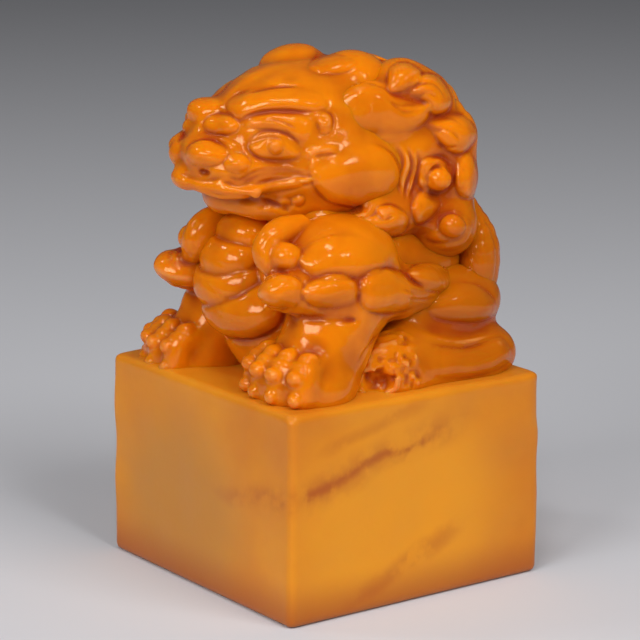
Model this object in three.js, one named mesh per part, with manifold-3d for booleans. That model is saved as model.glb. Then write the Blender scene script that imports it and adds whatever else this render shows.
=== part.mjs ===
// Seal stamp: a square block of amber-coloured soft stone whose knob is a crouching guardian lion.
// Millimetres, +Z up. The origin is the middle of the printing face. The lion looks along -Y and
// its left side is +X. One stone is carved into every form, so each form is a solid of its own here
// and keeps a hair's breadth of clearance to the forms it grows out of.

import * as THREE from 'three';
import { mergeVertices } from 'three/addons/utils/BufferGeometryUtils.js';
import Module from 'manifold-3d';

const wasm = await Module();
wasm.setup();

// Clearance between two carved forms
const GAP = 0.3;

// Sizes are full widths (across the lion), lengths (front to back) and heights. A seat says where a form
// sits on the mass that carries it: its bearing from the front round to the lion's left, its rise above
// the level, both in degrees, and how far its centre is sunk below the skin

// The block and its printing face
const BLOCK = { side: 40, height: 26.9, edgeRadius: 0.7, cornerRadius: 1 };
const RIM = { width: 2.2, depth: 0.9 };
const FRET = { stroke: 1.7, pitch: 3.5, arm: 14.4, offset: 1.6 };

// The trunk
const TORSO = { width: 26, length: 31, height: 24, buried: 3, setBack: 3 };
const BREAST = { width: 17.5, length: 18, height: 21, forward: 9, lowered: 2.5 };
const LOIN = { width: 24, length: 16, height: 20, back: 8, raised: 1 };

// The neck, mane and skull, turned together towards the lion's right
const HEAD_TURN = 16;
const RUFF = { width: 25, length: 26, height: 12, sink: 2 };
const MANE = { width: 23.2, length: 26, height: 21.8, rise: 6.5, setBack: 2.5 };
const SKULL = { width: 21, length: 24, height: 16.4, rise: 3.3, setForward: 10.7, lean: 6 };

// The face
const CHEEK = { width: 9.6, length: 12.4, height: 9.8, seat: [110, -31, -0.8] };
const MUZZLE = { width: 16, length: 15.3, height: 8.6, seat: [0, -49, 1.7] };
const LIP = { thick: 2.3, height: 2 };
const NOSE = { wing: 4.6, seat: [12, -20, -1.5], bridge: 4, bridgeTop: 3 };
const JAW = { thick: 3.8, height: 3.6, chin: 13.6, narrow: 0.86, shorten: 0.9, fallBack: 0.5 };
const EYE = { width: 4.4, length: 8, height: 4.6, turn: -27, seat: [61, -15, 1.4] };
const BROW = { thick: 3, height: 3.2, curl: 4.2 };
const EAR = { thick: 2.2, tipThick: 1.2, root: 6, height: 7.6, tip: 1.9, length: 11, middle: 4.6 };
const EAR_SEAT = [56, 29, -1.3];
const CROWN_LOBE = { width: 7, length: 8.4, height: 5, turn: -10, seat: [124, 61, 0.4] };
const CROWN_SWELL = { width: 8.8, length: 8.4, height: 6.3, turn: -13, seat: [152, 42, -0.9] };

// The locks and curls of the mane
const UPPER_LOCK = { width: 9, length: 8, height: 7.4, lean: -18, seat: [112, 57, 0.7] };
const BACK_LOCK = { width: 9, length: 8.6, height: 8.2, lean: -30, seat: [128, 45, 1.5] };
const REAR_LOCK = { width: 9.6, length: 9.6, height: 9, lean: -30, seat: [141, 15, 2.2] };
const BUTTON = { width: 3.4, length: 3.4, height: 3.4, seat: [143, 30, -1.1] };
const LOW_LOCK = { width: 9.4, length: 8, height: 11, seat: [142, -18, 1.4] };
const NAPE_LOCK = { width: 7.6, length: 6.2, height: 7.6 };
const NAPE_SEATS = [[180, 58, 2.1], [180, 30, 2], [180, -6, 2], [180, -41, 0.6]];
const SIDE_CURL = { size: 5.4, seat: [112, -12, 0.9] };
const JAW_CURL = { width: 5.4, length: 8, height: 4.4, turn: -6, seat: [80, -5, 0.8] };
const NECK_CURL = { width: 5.4, length: 7.2, height: 5.2, turn: 8, seat: [106, 8, 1.7] };
const NAPE_CURL = { width: 9.6, length: 9, height: 8.6, seat: [147, -26, -1.2] };
const CHEEK_HAIR = { strand: 1.9, end: 1.5, strands: 3, bearing: 90, fan: 8.2, combedBack: 3, gather: 2 };
const RIDGE = { thick: 1.1, turns: 1.25, windIn: 0.72, stand: 0.8, points: 7 };

// The chest: overlapping plates, each broader and lower than the one above it
const CHEST = { width: 10.5, length: 8.4, height: 6.4, lean: 24, plates: 4, aside: 4.4 };
const CHEST_STEP = { broaden: 2.3, drop: 3.3, advance: 0.6 };
const CHEST_SEAT = [0, 31, -2.4];

// The front legs
const SHOULDER = { width: 15, length: 14.5, height: 12.2, seat: [51, 23, -0.5] };
const SHOULDER_CURL = { size: 6.4, seat: [-3, 14, -2.1] };
const FLAME = { thick: 5, height: 5.6 };
const FLAME_BAND = { thick: 4, height: 2.6 };
const FORELEG = { top: 12.2, ankle: 11.6, reach: 4.2 };
const FOREPAW = { width: 13.2, length: 12.8, height: 11.4, raised: 2.2, setWide: 11.6, setForward: 10.8 };
const TOE = { width: 3.5, length: 6, height: 6, raised: 2.6, count: 4 };
const TOE_ROW = { width: 0.86, reach: 0.42, roundness: 0.35, fan: 34 };
const LEFT_TOE_OUT = 2;
const RIGHT_TOE_OUT = 30;

// The back legs
const HAUNCH = { width: 14.6, length: 17.5, height: 16.2, seat: [122, -12, 1.7] };
const SHANK = { heel: 6.2, foot: 5.8 };
const HIND_PAW = { width: 8.6, length: 12, height: 9, raised: 2, toeIn: 4 };
const HIND_TOE = { width: 2.9, length: 5, height: 3.6, raised: 1.4, count: 3 };

// The tail
const TAIL = { tongue: 5.2, thick: 4.6, tip: 2, height: 21, tongues: 3, spread: 4, shorter: 4.2 };
const TAIL_SEAT = [149, -28, -1.6];

// Fineness of the carved surfaces: a lobe has more sides the bigger it is
const LOBE_LEAST_SIDES = 7;
const LOBE_SIDES_PER_MM = 0.26;
const LOBE_RINGS_PER_SIDE = 0.5;
const LIMB_SIDES = 7;
const RIDGE_SIDES = 5;
const STEPS_PER_SPAN = 2;
const CAP_RINGS = 1;

const UP = new THREE.Vector3(0, 0, 1);
const at = (x, y, z) => new THREE.Vector3(x, y, z);

// A closed geometry as a solid that can be joined and cut
function toSolid(geometry) {
  geometry.deleteAttribute('normal');
  geometry.deleteAttribute('uv');
  const merged = mergeVertices(geometry, 1e-5);
  const mesh = new wasm.Mesh({
    numProp: 3,
    vertProperties: new Float32Array(merged.attributes.position.array),
    triVerts: new Uint32Array(merged.index.array),
  });
  return new wasm.Manifold(mesh);
}

// The geometry of a finished solid, with flat facets
function toGeometry(solid) {
  const mesh = solid.getMesh();
  const geometry = new THREE.BufferGeometry();
  geometry.setAttribute('position', new THREE.BufferAttribute(mesh.vertProperties, 3));
  geometry.setIndex(new THREE.BufferAttribute(mesh.triVerts, 1));
  geometry.computeVertexNormals();
  return geometry;
}

// Every form below is a function of grow: grow = 0 gives the form, and more gives it fattened by that
// much, which is what its neighbours are cut with

// A rounded lump of stone. Lean tips its front down, roll tips its left down and turn swings it round
function lobe({ centre, width, length, height, turn = 0, lean = 0, roll = 0 }) {
  const sides = Math.round(LOBE_LEAST_SIDES + LOBE_SIDES_PER_MM * Math.max(width, length, height));
  return (grow) => {
    const ball = new THREE.SphereGeometry(1, sides, Math.round(sides * LOBE_RINGS_PER_SIDE));
    ball.rotateX(Math.PI / 2);
    ball.scale(width / 2 + grow, length / 2 + grow, height / 2 + grow);
    ball.rotateX(THREE.MathUtils.degToRad(lean));
    ball.rotateY(THREE.MathUtils.degToRad(roll));
    ball.rotateZ(THREE.MathUtils.degToRad(turn));
    ball.translate(centre.x, centre.y, centre.z);
    return toSolid(ball);
  };
}

// A limb: an oval section, wide and thick at each point of a smooth path, carried along it to round ends.
// Wide is measured level, across the path, and thick square to that
function limb({ path, wide, thick, up = UP, sides = LIMB_SIDES }) {
  return (grow) => {
    const route = new THREE.CatmullRomCurve3(path);
    const girth = new THREE.CatmullRomCurve3(path.map((point, i) => at(wide[i] / 2, thick[i] / 2, 0)));
    const steps = (path.length - 1) * STEPS_PER_SPAN;
    const positions = [];
    const ring = (t, offset, scale) => {
      const tangent = route.getTangent(t);
      const side = new THREE.Vector3().crossVectors(up, tangent).normalize();
      const top = new THREE.Vector3().crossVectors(tangent, side);
      const radii = girth.getPoint(t);
      const centre = route.getPoint(t).addScaledVector(tangent, offset);
      for (let j = 0; j < sides; j += 1) {
        const angle = (j / sides) * 2 * Math.PI;
        const point = centre.clone();
        point.addScaledVector(side, Math.cos(angle) * (radii.x + grow) * scale);
        point.addScaledVector(top, Math.sin(angle) * (radii.y + grow) * scale);
        positions.push(...point.toArray());
      }
    };
    const capRadius = (t) => {
      const radii = girth.getPoint(t);
      return Math.min(radii.x, radii.y) + grow;
    };
    const pole = (t, sign) => {
      const tip = route.getPoint(t).addScaledVector(route.getTangent(t), sign * capRadius(t));
      positions.push(...tip.toArray());
    };
    for (let k = CAP_RINGS; k > 0; k -= 1) {
      const angle = (k / (CAP_RINGS + 1)) * (Math.PI / 2);
      ring(0, -capRadius(0) * Math.sin(angle), Math.cos(angle));
    }
    for (let i = 0; i <= steps; i += 1) ring(i / steps, 0, 1);
    for (let k = 1; k <= CAP_RINGS; k += 1) {
      const angle = (k / (CAP_RINGS + 1)) * (Math.PI / 2);
      ring(1, capRadius(1) * Math.sin(angle), Math.cos(angle));
    }
    const rings = positions.length / 3 / sides;
    pole(0, -1);
    pole(1, 1);
    const start = rings * sides;
    const end = start + 1;
    const index = [];
    for (let j = 0; j < sides; j += 1) {
      const next = (j + 1) % sides;
      index.push(start, next, j);
      index.push(end, (rings - 1) * sides + j, (rings - 1) * sides + next);
      for (let i = 0; i < rings - 1; i += 1) {
        const low = i * sides;
        const high = low + sides;
        index.push(low + j, low + next, high + j);
        index.push(low + next, high + next, high + j);
      }
    }
    const geometry = new THREE.BufferGeometry();
    geometry.setAttribute('position', new THREE.Float32BufferAttribute(positions, 3));
    geometry.setIndex(index);
    return toSolid(geometry);
  };
}

// Several forms grown into one
const together = (...forms) => (grow) => wasm.Manifold.union(forms.map((form) => form(grow)));

// The same form on the lion's other side
const mirrored = (form) => (grow) => form(grow).mirror([1, 0, 0]);

// The same form swung round Z by so many degrees
const swung = (form, degrees) => (grow) => form(grow).rotate([0, 0, degrees]);

// The place of a seat on an oval mass
function on(mass, [bearing, rise, sink = 0]) {
  const round = THREE.MathUtils.degToRad(bearing);
  const above = THREE.MathUtils.degToRad(rise);
  return at(
    mass.centre.x + (mass.width / 2 - sink) * Math.sin(round) * Math.cos(above),
    mass.centre.y - (mass.length / 2 - sink) * Math.cos(round) * Math.cos(above),
    mass.centre.z + (mass.height / 2 - sink) * Math.sin(above),
  );
}

// A lobe whose centre is the place of its own seat on a mass
const seated = (mass, shape) => lobe({ ...shape, centre: on(mass, shape.seat) });

// A curl: a boss with a spiral ridge wound on the side of it that faces out
function curl({ centre, size, facing }) {
  const out = facing.clone().normalize();
  const across = new THREE.Vector3().crossVectors(UP, out).normalize();
  const rise = new THREE.Vector3().crossVectors(out, across);
  const path = [];
  for (let i = 0; i < RIDGE.points; i += 1) {
    const share = i / (RIDGE.points - 1);
    const angle = share * RIDGE.turns * 2 * Math.PI;
    const radius = ((size - RIDGE.thick) / 2) * (1 - RIDGE.windIn * share);
    const lift = Math.sqrt((size / 2) ** 2 - radius ** 2) * RIDGE.stand;
    path.push(
      centre.clone()
        .addScaledVector(across, Math.cos(angle) * radius)
        .addScaledVector(rise, Math.sin(angle) * radius)
        .addScaledVector(out, lift),
    );
  }
  const girth = path.map(() => RIDGE.thick);
  return together(
    lobe({ centre, width: size, length: size, height: size }),
    limb({ path, wide: girth, thick: girth, up: out, sides: RIDGE_SIDES }),
  );
}

// Colours of the stone, warmest in the lion and duller in the block
const amber = new THREE.MeshStandardMaterial({ color: 0xe07a10, roughness: 0.28, metalness: 0 });
const honey = new THREE.MeshStandardMaterial({ color: 0xe3901c, roughness: 0.36, metalness: 0 });
const russet = new THREE.MeshStandardMaterial({ color: 0xc65f10, roughness: 0.32, metalness: 0 });

// The carver's order: each form is cut by all the forms before it, so the great masses come first and
// the small forms sit on them
const carved = [];
const belowBlockTop = () => {
  const slab = new THREE.BoxGeometry(BLOCK.side * 2, BLOCK.side * 2, BLOCK.side);
  slab.translate(0, 0, -BLOCK.side / 2);
  return toSolid(slab);
};
const ground = belowBlockTop();

function carve(parent, name, form, material) {
  const degrees = THREE.MathUtils.radToDeg(parent.rotation.z);
  const placed = swung(form, degrees);
  let solid = placed(0).subtract(ground);
  for (const earlier of carved) solid = solid.subtract(earlier);
  const [body] = solid.decompose().sort((a, b) => b.volume() - a.volume());
  carved.push(placed(GAP));
  const mesh = new THREE.Mesh(toGeometry(body.rotate([0, 0, -degrees])), material);
  mesh.name = name;
  parent.add(mesh);
}

function carvePair(parent, name, form, material) {
  carve(parent, `left_${name}`, form, material);
  carve(parent, `right_${name}`, mirrored(form), material);
}

// Block

// A square outline with round corners, drawn counter-clockwise
function roundedSquare(side, radius) {
  const half = side / 2;
  const straight = half - radius;
  const shape = new THREE.Shape();
  shape.absarc(straight, straight, radius, 0, Math.PI / 2);
  shape.absarc(-straight, straight, radius, Math.PI / 2, Math.PI);
  shape.absarc(-straight, -straight, radius, Math.PI, 1.5 * Math.PI);
  shape.absarc(straight, -straight, radius, 1.5 * Math.PI, 2 * Math.PI);
  return shape;
}

// The block: the outline carried up, and drawn in round its worn top edge
function blockBody() {
  const cornerSteps = 3;
  const edgeSteps = 3;
  const levels = [{ z: 0, inset: 0 }];
  for (let k = 0; k <= edgeSteps; k += 1) {
    const angle = (k / edgeSteps) * (Math.PI / 2);
    const fall = BLOCK.edgeRadius * (1 - Math.sin(angle));
    levels.push({ z: BLOCK.height - fall, inset: BLOCK.edgeRadius * (1 - Math.cos(angle)) });
  }
  const positions = [];
  let sides = 0;
  for (const { z, inset } of levels) {
    const outline = roundedSquare(BLOCK.side - 2 * inset, BLOCK.cornerRadius).getPoints(cornerSteps);
    if (outline[0].distanceTo(outline[outline.length - 1]) < 1e-6) outline.pop();
    sides = outline.length;
    for (const point of outline) positions.push(point.x, point.y, z);
  }
  const bottom = positions.length / 3;
  const top = bottom + 1;
  positions.push(0, 0, 0, 0, 0, BLOCK.height);
  const index = [];
  const last = (levels.length - 1) * sides;
  for (let j = 0; j < sides; j += 1) {
    const next = (j + 1) % sides;
    index.push(bottom, next, j);
    index.push(top, last + j, last + next);
    for (let low = 0; low < last; low += sides) {
      index.push(low + j, low + next, low + sides + j);
      index.push(low + next, low + sides + next, low + sides + j);
    }
  }
  const geometry = new THREE.BufferGeometry();
  geometry.setAttribute('position', new THREE.Float32BufferAttribute(positions, 3));
  geometry.setIndex(index);
  return toSolid(geometry);
}

// One key of the fret: a stroke that turns square corners inwards, each arm a pitch shorter
function fretKey() {
  const corners = [at(FRET.offset, FRET.offset, 0)];
  const headings = [at(1, 0, 0), at(0, 1, 0), at(-1, 0, 0), at(0, -1, 0)];
  const arms = [0, 0, 1, 2, 3].map((turns) => FRET.arm - turns * FRET.pitch);
  arms.forEach((arm, i) => {
    const heading = headings[i % headings.length];
    corners.push(corners[corners.length - 1].clone().addScaledVector(heading, arm));
  });
  const side = (sign) => corners.map((corner, i) => {
    const before = corner.clone().sub(corners[Math.max(i - 1, 0)]).normalize();
    const after = corners[Math.min(i + 1, corners.length - 1)].clone().sub(corner).normalize();
    const across = (heading) => at(-heading.y, heading.x, 0).multiplyScalar((sign * FRET.stroke) / 2);
    return corner.clone().add(across(before)).add(across(after));
  });
  const outline = [...side(1), ...side(-1).reverse()].map((point) => new THREE.Vector2(point.x, point.y));
  const shape = new THREE.Shape(outline.reverse());
  return new THREE.ExtrudeGeometry(shape, { depth: RIM.depth + GAP, bevelEnabled: false });
}

// The printing face: a sunk field inside a raised rim, with a raised fret of four keys, each the
// mirror of its neighbours
function sealBlock() {
  const fieldSide = BLOCK.side - 2 * RIM.width;
  const field = new THREE.BoxGeometry(fieldSide, fieldSide, 2 * RIM.depth);
  let solid = blockBody().subtract(toSolid(field));
  const key = toSolid(fretKey());
  const pair = key.add(key.mirror([1, 0, 0]));
  return solid.add(pair).add(pair.mirror([0, 1, 0]));
}

const seal = new THREE.Group();
const block = new THREE.Mesh(toGeometry(sealBlock()), honey);
block.name = 'seal_block';
seal.add(block);

// Trunk

const lion = new THREE.Group();
lion.position.z = BLOCK.height;
seal.add(lion);

const torso = {
  centre: at(0, TORSO.setBack, (TORSO.height - TORSO.buried) / 2),
  width: TORSO.width,
  length: TORSO.length,
  height: TORSO.height + TORSO.buried,
};
const breast = { ...BREAST, centre: torso.centre.clone().add(at(0, -BREAST.forward, -BREAST.lowered)) };
const loin = { ...LOIN, centre: torso.centre.clone().add(at(0, LOIN.back, LOIN.raised)) };
carve(lion, 'torso', together(lobe(torso), lobe(breast), lobe(loin)), amber);

// Head

const head = new THREE.Group();
head.rotation.z = THREE.MathUtils.degToRad(-HEAD_TURN);
lion.add(head);

const ruff = { ...RUFF, centre: at(0, TORSO.setBack, TORSO.height - RUFF.sink) };
const mane = { ...MANE, centre: ruff.centre.clone().add(at(0, MANE.setBack, MANE.rise)) };
const skull = { ...SKULL, centre: mane.centre.clone().add(at(0, -SKULL.setForward, SKULL.rise)) };
carve(head, 'mane', together(lobe(mane), lobe(ruff)), amber);
carve(head, 'skull', lobe(skull), amber);

// Face

const muzzle = { ...MUZZLE, centre: on(skull, MUZZLE.seat) };
carvePair(head, 'cheek', seated(skull, CHEEK), amber);
carve(head, 'muzzle', lobe(muzzle), amber);

// The nose: two wings and the bridge between the eyes
const noseWing = lobe({
  centre: on(skull, NOSE.seat),
  width: NOSE.wing,
  length: NOSE.wing,
  height: NOSE.wing,
});
const bridge = limb({
  path: [on(skull, [0, -18, -1.2]), on(skull, [0, -2, 0.3])],
  wide: [NOSE.bridge, NOSE.bridgeTop],
  thick: [NOSE.bridge, NOSE.bridgeTop],
});
carve(head, 'nose', together(noseWing, mirrored(noseWing), bridge), amber);

// The upper lip: a roll along the muzzle's lower edge, back to the corners of the mouth
const acrossTheFace = (halfPath) => [
  ...halfPath.slice(1).reverse().map((point) => point.clone().multiply(at(-1, 1, 1))),
  ...halfPath,
];
const lipHalf = [
  on(muzzle, [0, -26, -0.2]),
  on(muzzle, [45, -29, -0.2]),
  on(muzzle, [88, -27, -0.8]),
  on(skull, [98, -43, -1.8]),
];
const lipPath = acrossTheFace(lipHalf);
carve(head, 'upper_lip', limb({
  path: lipPath,
  wide: lipPath.map(() => LIP.thick),
  thick: lipPath.map(() => LIP.height),
}), amber);

// The lower jaw: a shelf under the lip, closed by the stone between its sides
const jawDrop = (LIP.height + JAW.height) / 2;
const jawHalf = lipHalf.slice(0, 3).map((point, i) => (
  point.clone().multiply(at(JAW.narrow, JAW.shorten, 1)).add(at(0, i * JAW.fallBack, -jawDrop))
));
const jawPath = acrossTheFace(jawHalf);
const chin = lobe({
  centre: jawHalf[0].clone().add(at(0, (JAW.chin - JAW.thick / 2) / 2, 0)),
  width: JAW.chin,
  length: JAW.chin,
  height: JAW.height,
});
carve(head, 'lower_jaw', together(chin, limb({
  path: jawPath,
  wide: jawPath.map(() => JAW.thick),
  thick: jawPath.map(() => JAW.height),
})), amber);

carvePair(head, 'eye', seated(skull, EYE), amber);

// The brow: a ridge from a pair of curls over the nose, back above the eye to a small curl
const browPath = [[24, 18, 1], [40, 25, 1.3], [60, 31, 1.3], [84, 22, 1]].map((seat) => on(skull, seat));
const browCurl = (scale, seat) => lobe({
  centre: on(skull, seat),
  width: BROW.curl * scale,
  length: BROW.curl * scale,
  height: BROW.curl * scale * 0.8,
});
carvePair(head, 'brow', together(
  limb({
    path: browPath,
    wide: browPath.map(() => BROW.thick),
    thick: browPath.map(() => BROW.height),
  }),
  browCurl(1, [31, 7, 0.9]),
  browCurl(0.8, [15, 18, 0.9]),
  browCurl(0.75, [94, 12, 0.6]),
), amber);

// The ear: a leaf laid back along the mane, from a broad root to a point
const earRoot = on(mane, EAR_SEAT);
carvePair(head, 'ear', limb({
  path: [
    earRoot,
    earRoot.clone().add(at(EAR.thick / 2, EAR.middle, 0)),
    earRoot.clone().add(at(EAR.thick / 2, EAR.length, 0)),
  ],
  wide: [EAR.thick, EAR.thick, EAR.tipThick],
  thick: [EAR.root, EAR.height, EAR.tip],
}), amber);

// The crown: two pairs of lobes on top of the head
carvePair(head, 'crown_lobe', seated(skull, CROWN_LOBE), amber);
carvePair(head, 'crown_swell', seated(skull, CROWN_SWELL), amber);

// Mane

carvePair(head, 'upper_lock', together(seated(mane, UPPER_LOCK), seated(mane, BACK_LOCK)), russet);
carvePair(head, 'rear_lock', together(seated(mane, REAR_LOCK), seated(mane, BUTTON)), russet);
carvePair(head, 'low_lock', seated(mane, LOW_LOCK), russet);
const napeLocks = NAPE_SEATS.map((seat) => seated(mane, { ...NAPE_LOCK, seat }));
carve(head, 'nape_lock', together(...napeLocks), russet);
carvePair(head, 'side_curl', curl({
  centre: on(mane, SIDE_CURL.seat),
  size: SIDE_CURL.size,
  facing: at(1, 0.25, 0),
}), russet);

// Long strands combed down behind the cheek, drawn together at the neck
const strands = [];
for (let i = 0; i < CHEEK_HAIR.strands; i += 1) {
  const root = CHEEK_HAIR.bearing + i * CHEEK_HAIR.fan;
  const end = CHEEK_HAIR.bearing + CHEEK_HAIR.combedBack + i * CHEEK_HAIR.gather;
  const girth = [CHEEK_HAIR.strand, CHEEK_HAIR.strand, CHEEK_HAIR.end];
  strands.push(limb({
    path: [
      on(mane, [root, 14, 0.6]),
      on(mane, [root + CHEEK_HAIR.combedBack, -8, 0.2]),
      on(mane, [end, -32, -1]),
    ],
    wide: girth,
    thick: girth,
    up: at(0, 1, 0),
    sides: RIDGE_SIDES,
  }));
}
carvePair(head, 'cheek_hair', together(...strands), russet);

// The curls that hang below the cheek and round the neck
carvePair(head, 'jaw_curl', seated(ruff, JAW_CURL), russet);
carvePair(head, 'neck_curl', seated(ruff, NECK_CURL), russet);
carvePair(head, 'nape_curl', seated(ruff, NAPE_CURL), russet);

// Chest

for (let i = 0; i < CHEST.plates; i += 1) {
  const aside = CHEST.aside * (1 - (i / (CHEST.plates - 1)) ** 2);
  const step = at(-aside, -Math.min(i, 2) * CHEST_STEP.advance, -i * CHEST_STEP.drop);
  carve(lion, `chest_plate_${i + 1}`, lobe({
    centre: on(torso, CHEST_SEAT).add(step),
    width: CHEST.width + i * CHEST_STEP.broaden,
    length: CHEST.length,
    height: CHEST.height,
    lean: -CHEST.lean,
  }), amber);
}

// Front legs

const shoulder = { ...SHOULDER, centre: on(torso, SHOULDER.seat) };

// Flames of hair round the shoulder: four lobes in a row over a band that ties them together
const flameRow = [
  { seat: [10, -19, -1.9], length: 8, lean: 0, turn: 66 },
  { seat: [53, -26, -0.2], length: 8.6, lean: 4, turn: 28 },
  { seat: [114, -32, 1.2], length: 8, lean: -8, turn: -4 },
  { seat: [148, -15, -1.9], length: 9, lean: -14, turn: -12 },
];
const flames = flameRow.map((flame) => seated(shoulder, { ...flame, width: FLAME.thick, height: FLAME.height }));
const bandPath = [[-5, -36, -3], [41, -43, -1.7], [101, -49, -0.7], [149, -34, -1.9]].map((seat) => (
  on(shoulder, seat)
));
const band = limb({
  path: bandPath,
  wide: bandPath.map(() => FLAME_BAND.thick),
  thick: bandPath.map(() => FLAME_BAND.height),
});
carvePair(lion, 'shoulder_flames', together(...flames, band), russet);
carvePair(lion, 'shoulder_curl', curl({
  centre: on(shoulder, SHOULDER_CURL.seat),
  size: SHOULDER_CURL.size,
  facing: at(0.55, -0.83, 0.1),
}), amber);

// A paw and its toes, pointing forward, with the middle of the paw over the origin
function paw({ width, length, height, raised }, toe) {
  const pad = lobe({ centre: at(0, 0, raised), width, length, height });
  const toes = [];
  for (let i = 0; i < toe.count; i += 1) {
    const across = (i + 0.5) / toe.count - 0.5;
    const reach = length * (TOE_ROW.reach - TOE_ROW.roundness * across * across);
    const centre = at(across * width * TOE_ROW.width, -reach, toe.raised);
    toes.push(lobe({ ...toe, centre, turn: across * TOE_ROW.fan }));
  }
  return together(pad, ...toes);
}

const forepawPlace = at(FOREPAW.setWide, -FOREPAW.setForward, 0);
const forepaw = (toeOut) => (grow) => (
  paw(FOREPAW, TOE)(grow).rotate([0, 0, toeOut]).translate(forepawPlace.toArray())
);
const foreleg = limb({
  path: [
    shoulder.centre.clone().add(at(1.2, 0, -1)),
    at(shoulder.centre.x + 2, shoulder.centre.y - 1.2, shoulder.centre.z * 0.5),
    forepawPlace.clone().add(at(0.2, FORELEG.reach - 1.4, FOREPAW.height * 0.42)),
    forepawPlace.clone().add(at(0.2, FORELEG.reach, -1)),
  ],
  wide: [FORELEG.top, FORELEG.top, FORELEG.ankle, FORELEG.ankle],
  thick: [FORELEG.top, FORELEG.top, FORELEG.ankle, FORELEG.ankle],
  up: at(0, 1, 0),
});
carve(lion, 'left_forepaw', forepaw(LEFT_TOE_OUT), amber);
carve(lion, 'right_forepaw', mirrored(forepaw(RIGHT_TOE_OUT)), amber);
carvePair(lion, 'foreleg', together(foreleg, lobe(shoulder)), amber);

// Back legs

const haunch = { ...HAUNCH, centre: on(torso, HAUNCH.seat) };
const heel = haunch.centre.clone().add(at(4.6, 6.2, 0)).setZ(SHANK.heel / 2);
const hock = haunch.centre.clone().add(at(5.9, -1.4, 0)).setZ(SHANK.heel / 2);
const hindPaw = haunch.centre.clone().add(at(4.7, -11, 0)).setZ(SHANK.foot / 2);
carvePair(lion, 'hind_paw', (grow) => (
  paw(HIND_PAW, HIND_TOE)(grow).rotate([0, 0, -HIND_PAW.toeIn]).translate([hindPaw.x, hindPaw.y, 0])
), amber);
carvePair(lion, 'shank', limb({
  path: [heel, hock, hindPaw],
  wide: [SHANK.heel, SHANK.heel, SHANK.foot],
  thick: [SHANK.heel, SHANK.heel, SHANK.foot],
}), amber);
carvePair(lion, 'haunch', lobe({ ...haunch, turn: 4 }), amber);

// Tail

// A flame of hair that climbs the rump, in tongues side by side
const tailRoot = on(torso, TAIL_SEAT);
const tongues = [];
for (let i = 0; i < TAIL.tongues; i += 1) {
  const spread = i - (TAIL.tongues - 1) / 2;
  const climb = TAIL.height - TAIL.tip - TAIL.shorter * (TAIL.tongues - 1 - i);
  const aside = spread * TAIL.spread;
  tongues.push(limb({
    path: [
      tailRoot,
      tailRoot.clone().add(at(aside, TAIL.thick / 4, climb / 3)),
      tailRoot.clone().add(at(aside, TAIL.thick / 8, (2 * climb) / 3)),
      tailRoot.clone().add(at(aside, -TAIL.thick / 4, climb)),
    ],
    wide: [TAIL.tongue, TAIL.tongue, TAIL.thick, TAIL.tip],
    thick: [TAIL.thick, TAIL.thick, TAIL.thick, TAIL.tip],
    up: at(0, 1, 0),
  }));
}
carve(lion, 'tail', together(...tongues), russet);

export default seal;
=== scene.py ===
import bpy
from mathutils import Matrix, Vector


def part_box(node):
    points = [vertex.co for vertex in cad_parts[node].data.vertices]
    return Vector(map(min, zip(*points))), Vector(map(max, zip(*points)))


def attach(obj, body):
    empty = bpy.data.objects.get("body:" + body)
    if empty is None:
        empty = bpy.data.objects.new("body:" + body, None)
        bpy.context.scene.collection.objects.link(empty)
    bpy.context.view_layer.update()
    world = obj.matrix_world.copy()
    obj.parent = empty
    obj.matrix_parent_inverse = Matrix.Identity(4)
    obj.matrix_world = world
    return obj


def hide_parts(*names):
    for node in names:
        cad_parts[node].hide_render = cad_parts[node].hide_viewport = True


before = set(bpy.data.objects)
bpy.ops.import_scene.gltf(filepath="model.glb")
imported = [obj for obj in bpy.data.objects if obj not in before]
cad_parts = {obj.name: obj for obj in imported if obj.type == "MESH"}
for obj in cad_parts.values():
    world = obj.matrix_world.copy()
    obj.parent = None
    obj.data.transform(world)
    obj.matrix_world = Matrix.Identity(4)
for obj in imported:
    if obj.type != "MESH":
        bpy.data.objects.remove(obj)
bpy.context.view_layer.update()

import functools

import bpy
import numpy as np
from mathutils import Matrix

# The point of view
# The photograph was taken with a long lens, a little above the seal and off its front left corner. The
# camera stands first because the carving below is set out along its lines of sight.

MM = 0.001
PICTURE = 640
LENS = 147.25
SENSOR = 36.0
EYE_POINT = np.array([263.83, -198.78, 108.74])
EYE_RIGHT = np.array([0.59807467, 0.8013791, 0.00991094])
EYE_UP = np.array([-0.18608618, 0.12682769, 0.97431344])
EYE_BACK = np.array([0.77953744, -0.58455648, 0.224978])

camera_data = bpy.data.cameras.new("camera")
camera_data.lens = LENS
camera_data.sensor_width = SENSOR
camera = bpy.data.objects.new("camera", camera_data)
bpy.context.collection.objects.link(camera)
placing = np.eye(4)
placing[:3, 0] = EYE_RIGHT
placing[:3, 1] = EYE_UP
placing[:3, 2] = EYE_BACK
placing[:3, 3] = EYE_POINT * MM
camera.matrix_world = Matrix(placing.tolist())
bpy.context.scene.camera = camera

block_low, block_high = (np.array(corner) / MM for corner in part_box("seal_block"))
BLOCK_TOP = block_high[2]


def turned(points, degrees):
    """Points turned about the upright axis, anticlockwise from above."""
    angle = np.radians(degrees)
    turn = np.array([[np.cos(angle), -np.sin(angle), 0], [np.sin(angle), np.cos(angle), 0], [0, 0, 1]])
    return np.asarray(points, float) @ turn.T


def sightlines(pixels, head_turn=0.0):
    """The eye, and the direction from it through each pixel, in millimetres from the middle of the
    block's top, in a frame turned clockwise by head_turn degrees."""
    pixels = np.atleast_2d(np.asarray(pixels, float))
    focal = LENS / SENSOR * PICTURE
    across = (pixels[:, :1] - PICTURE / 2) / focal
    down = (pixels[:, 1:] - PICTURE / 2) / focal
    ways = across * EYE_RIGHT - down * EYE_UP - EYE_BACK
    eye = EYE_POINT - np.array([0, 0, BLOCK_TOP])
    return turned(eye, head_turn), turned(ways, head_turn)


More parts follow.
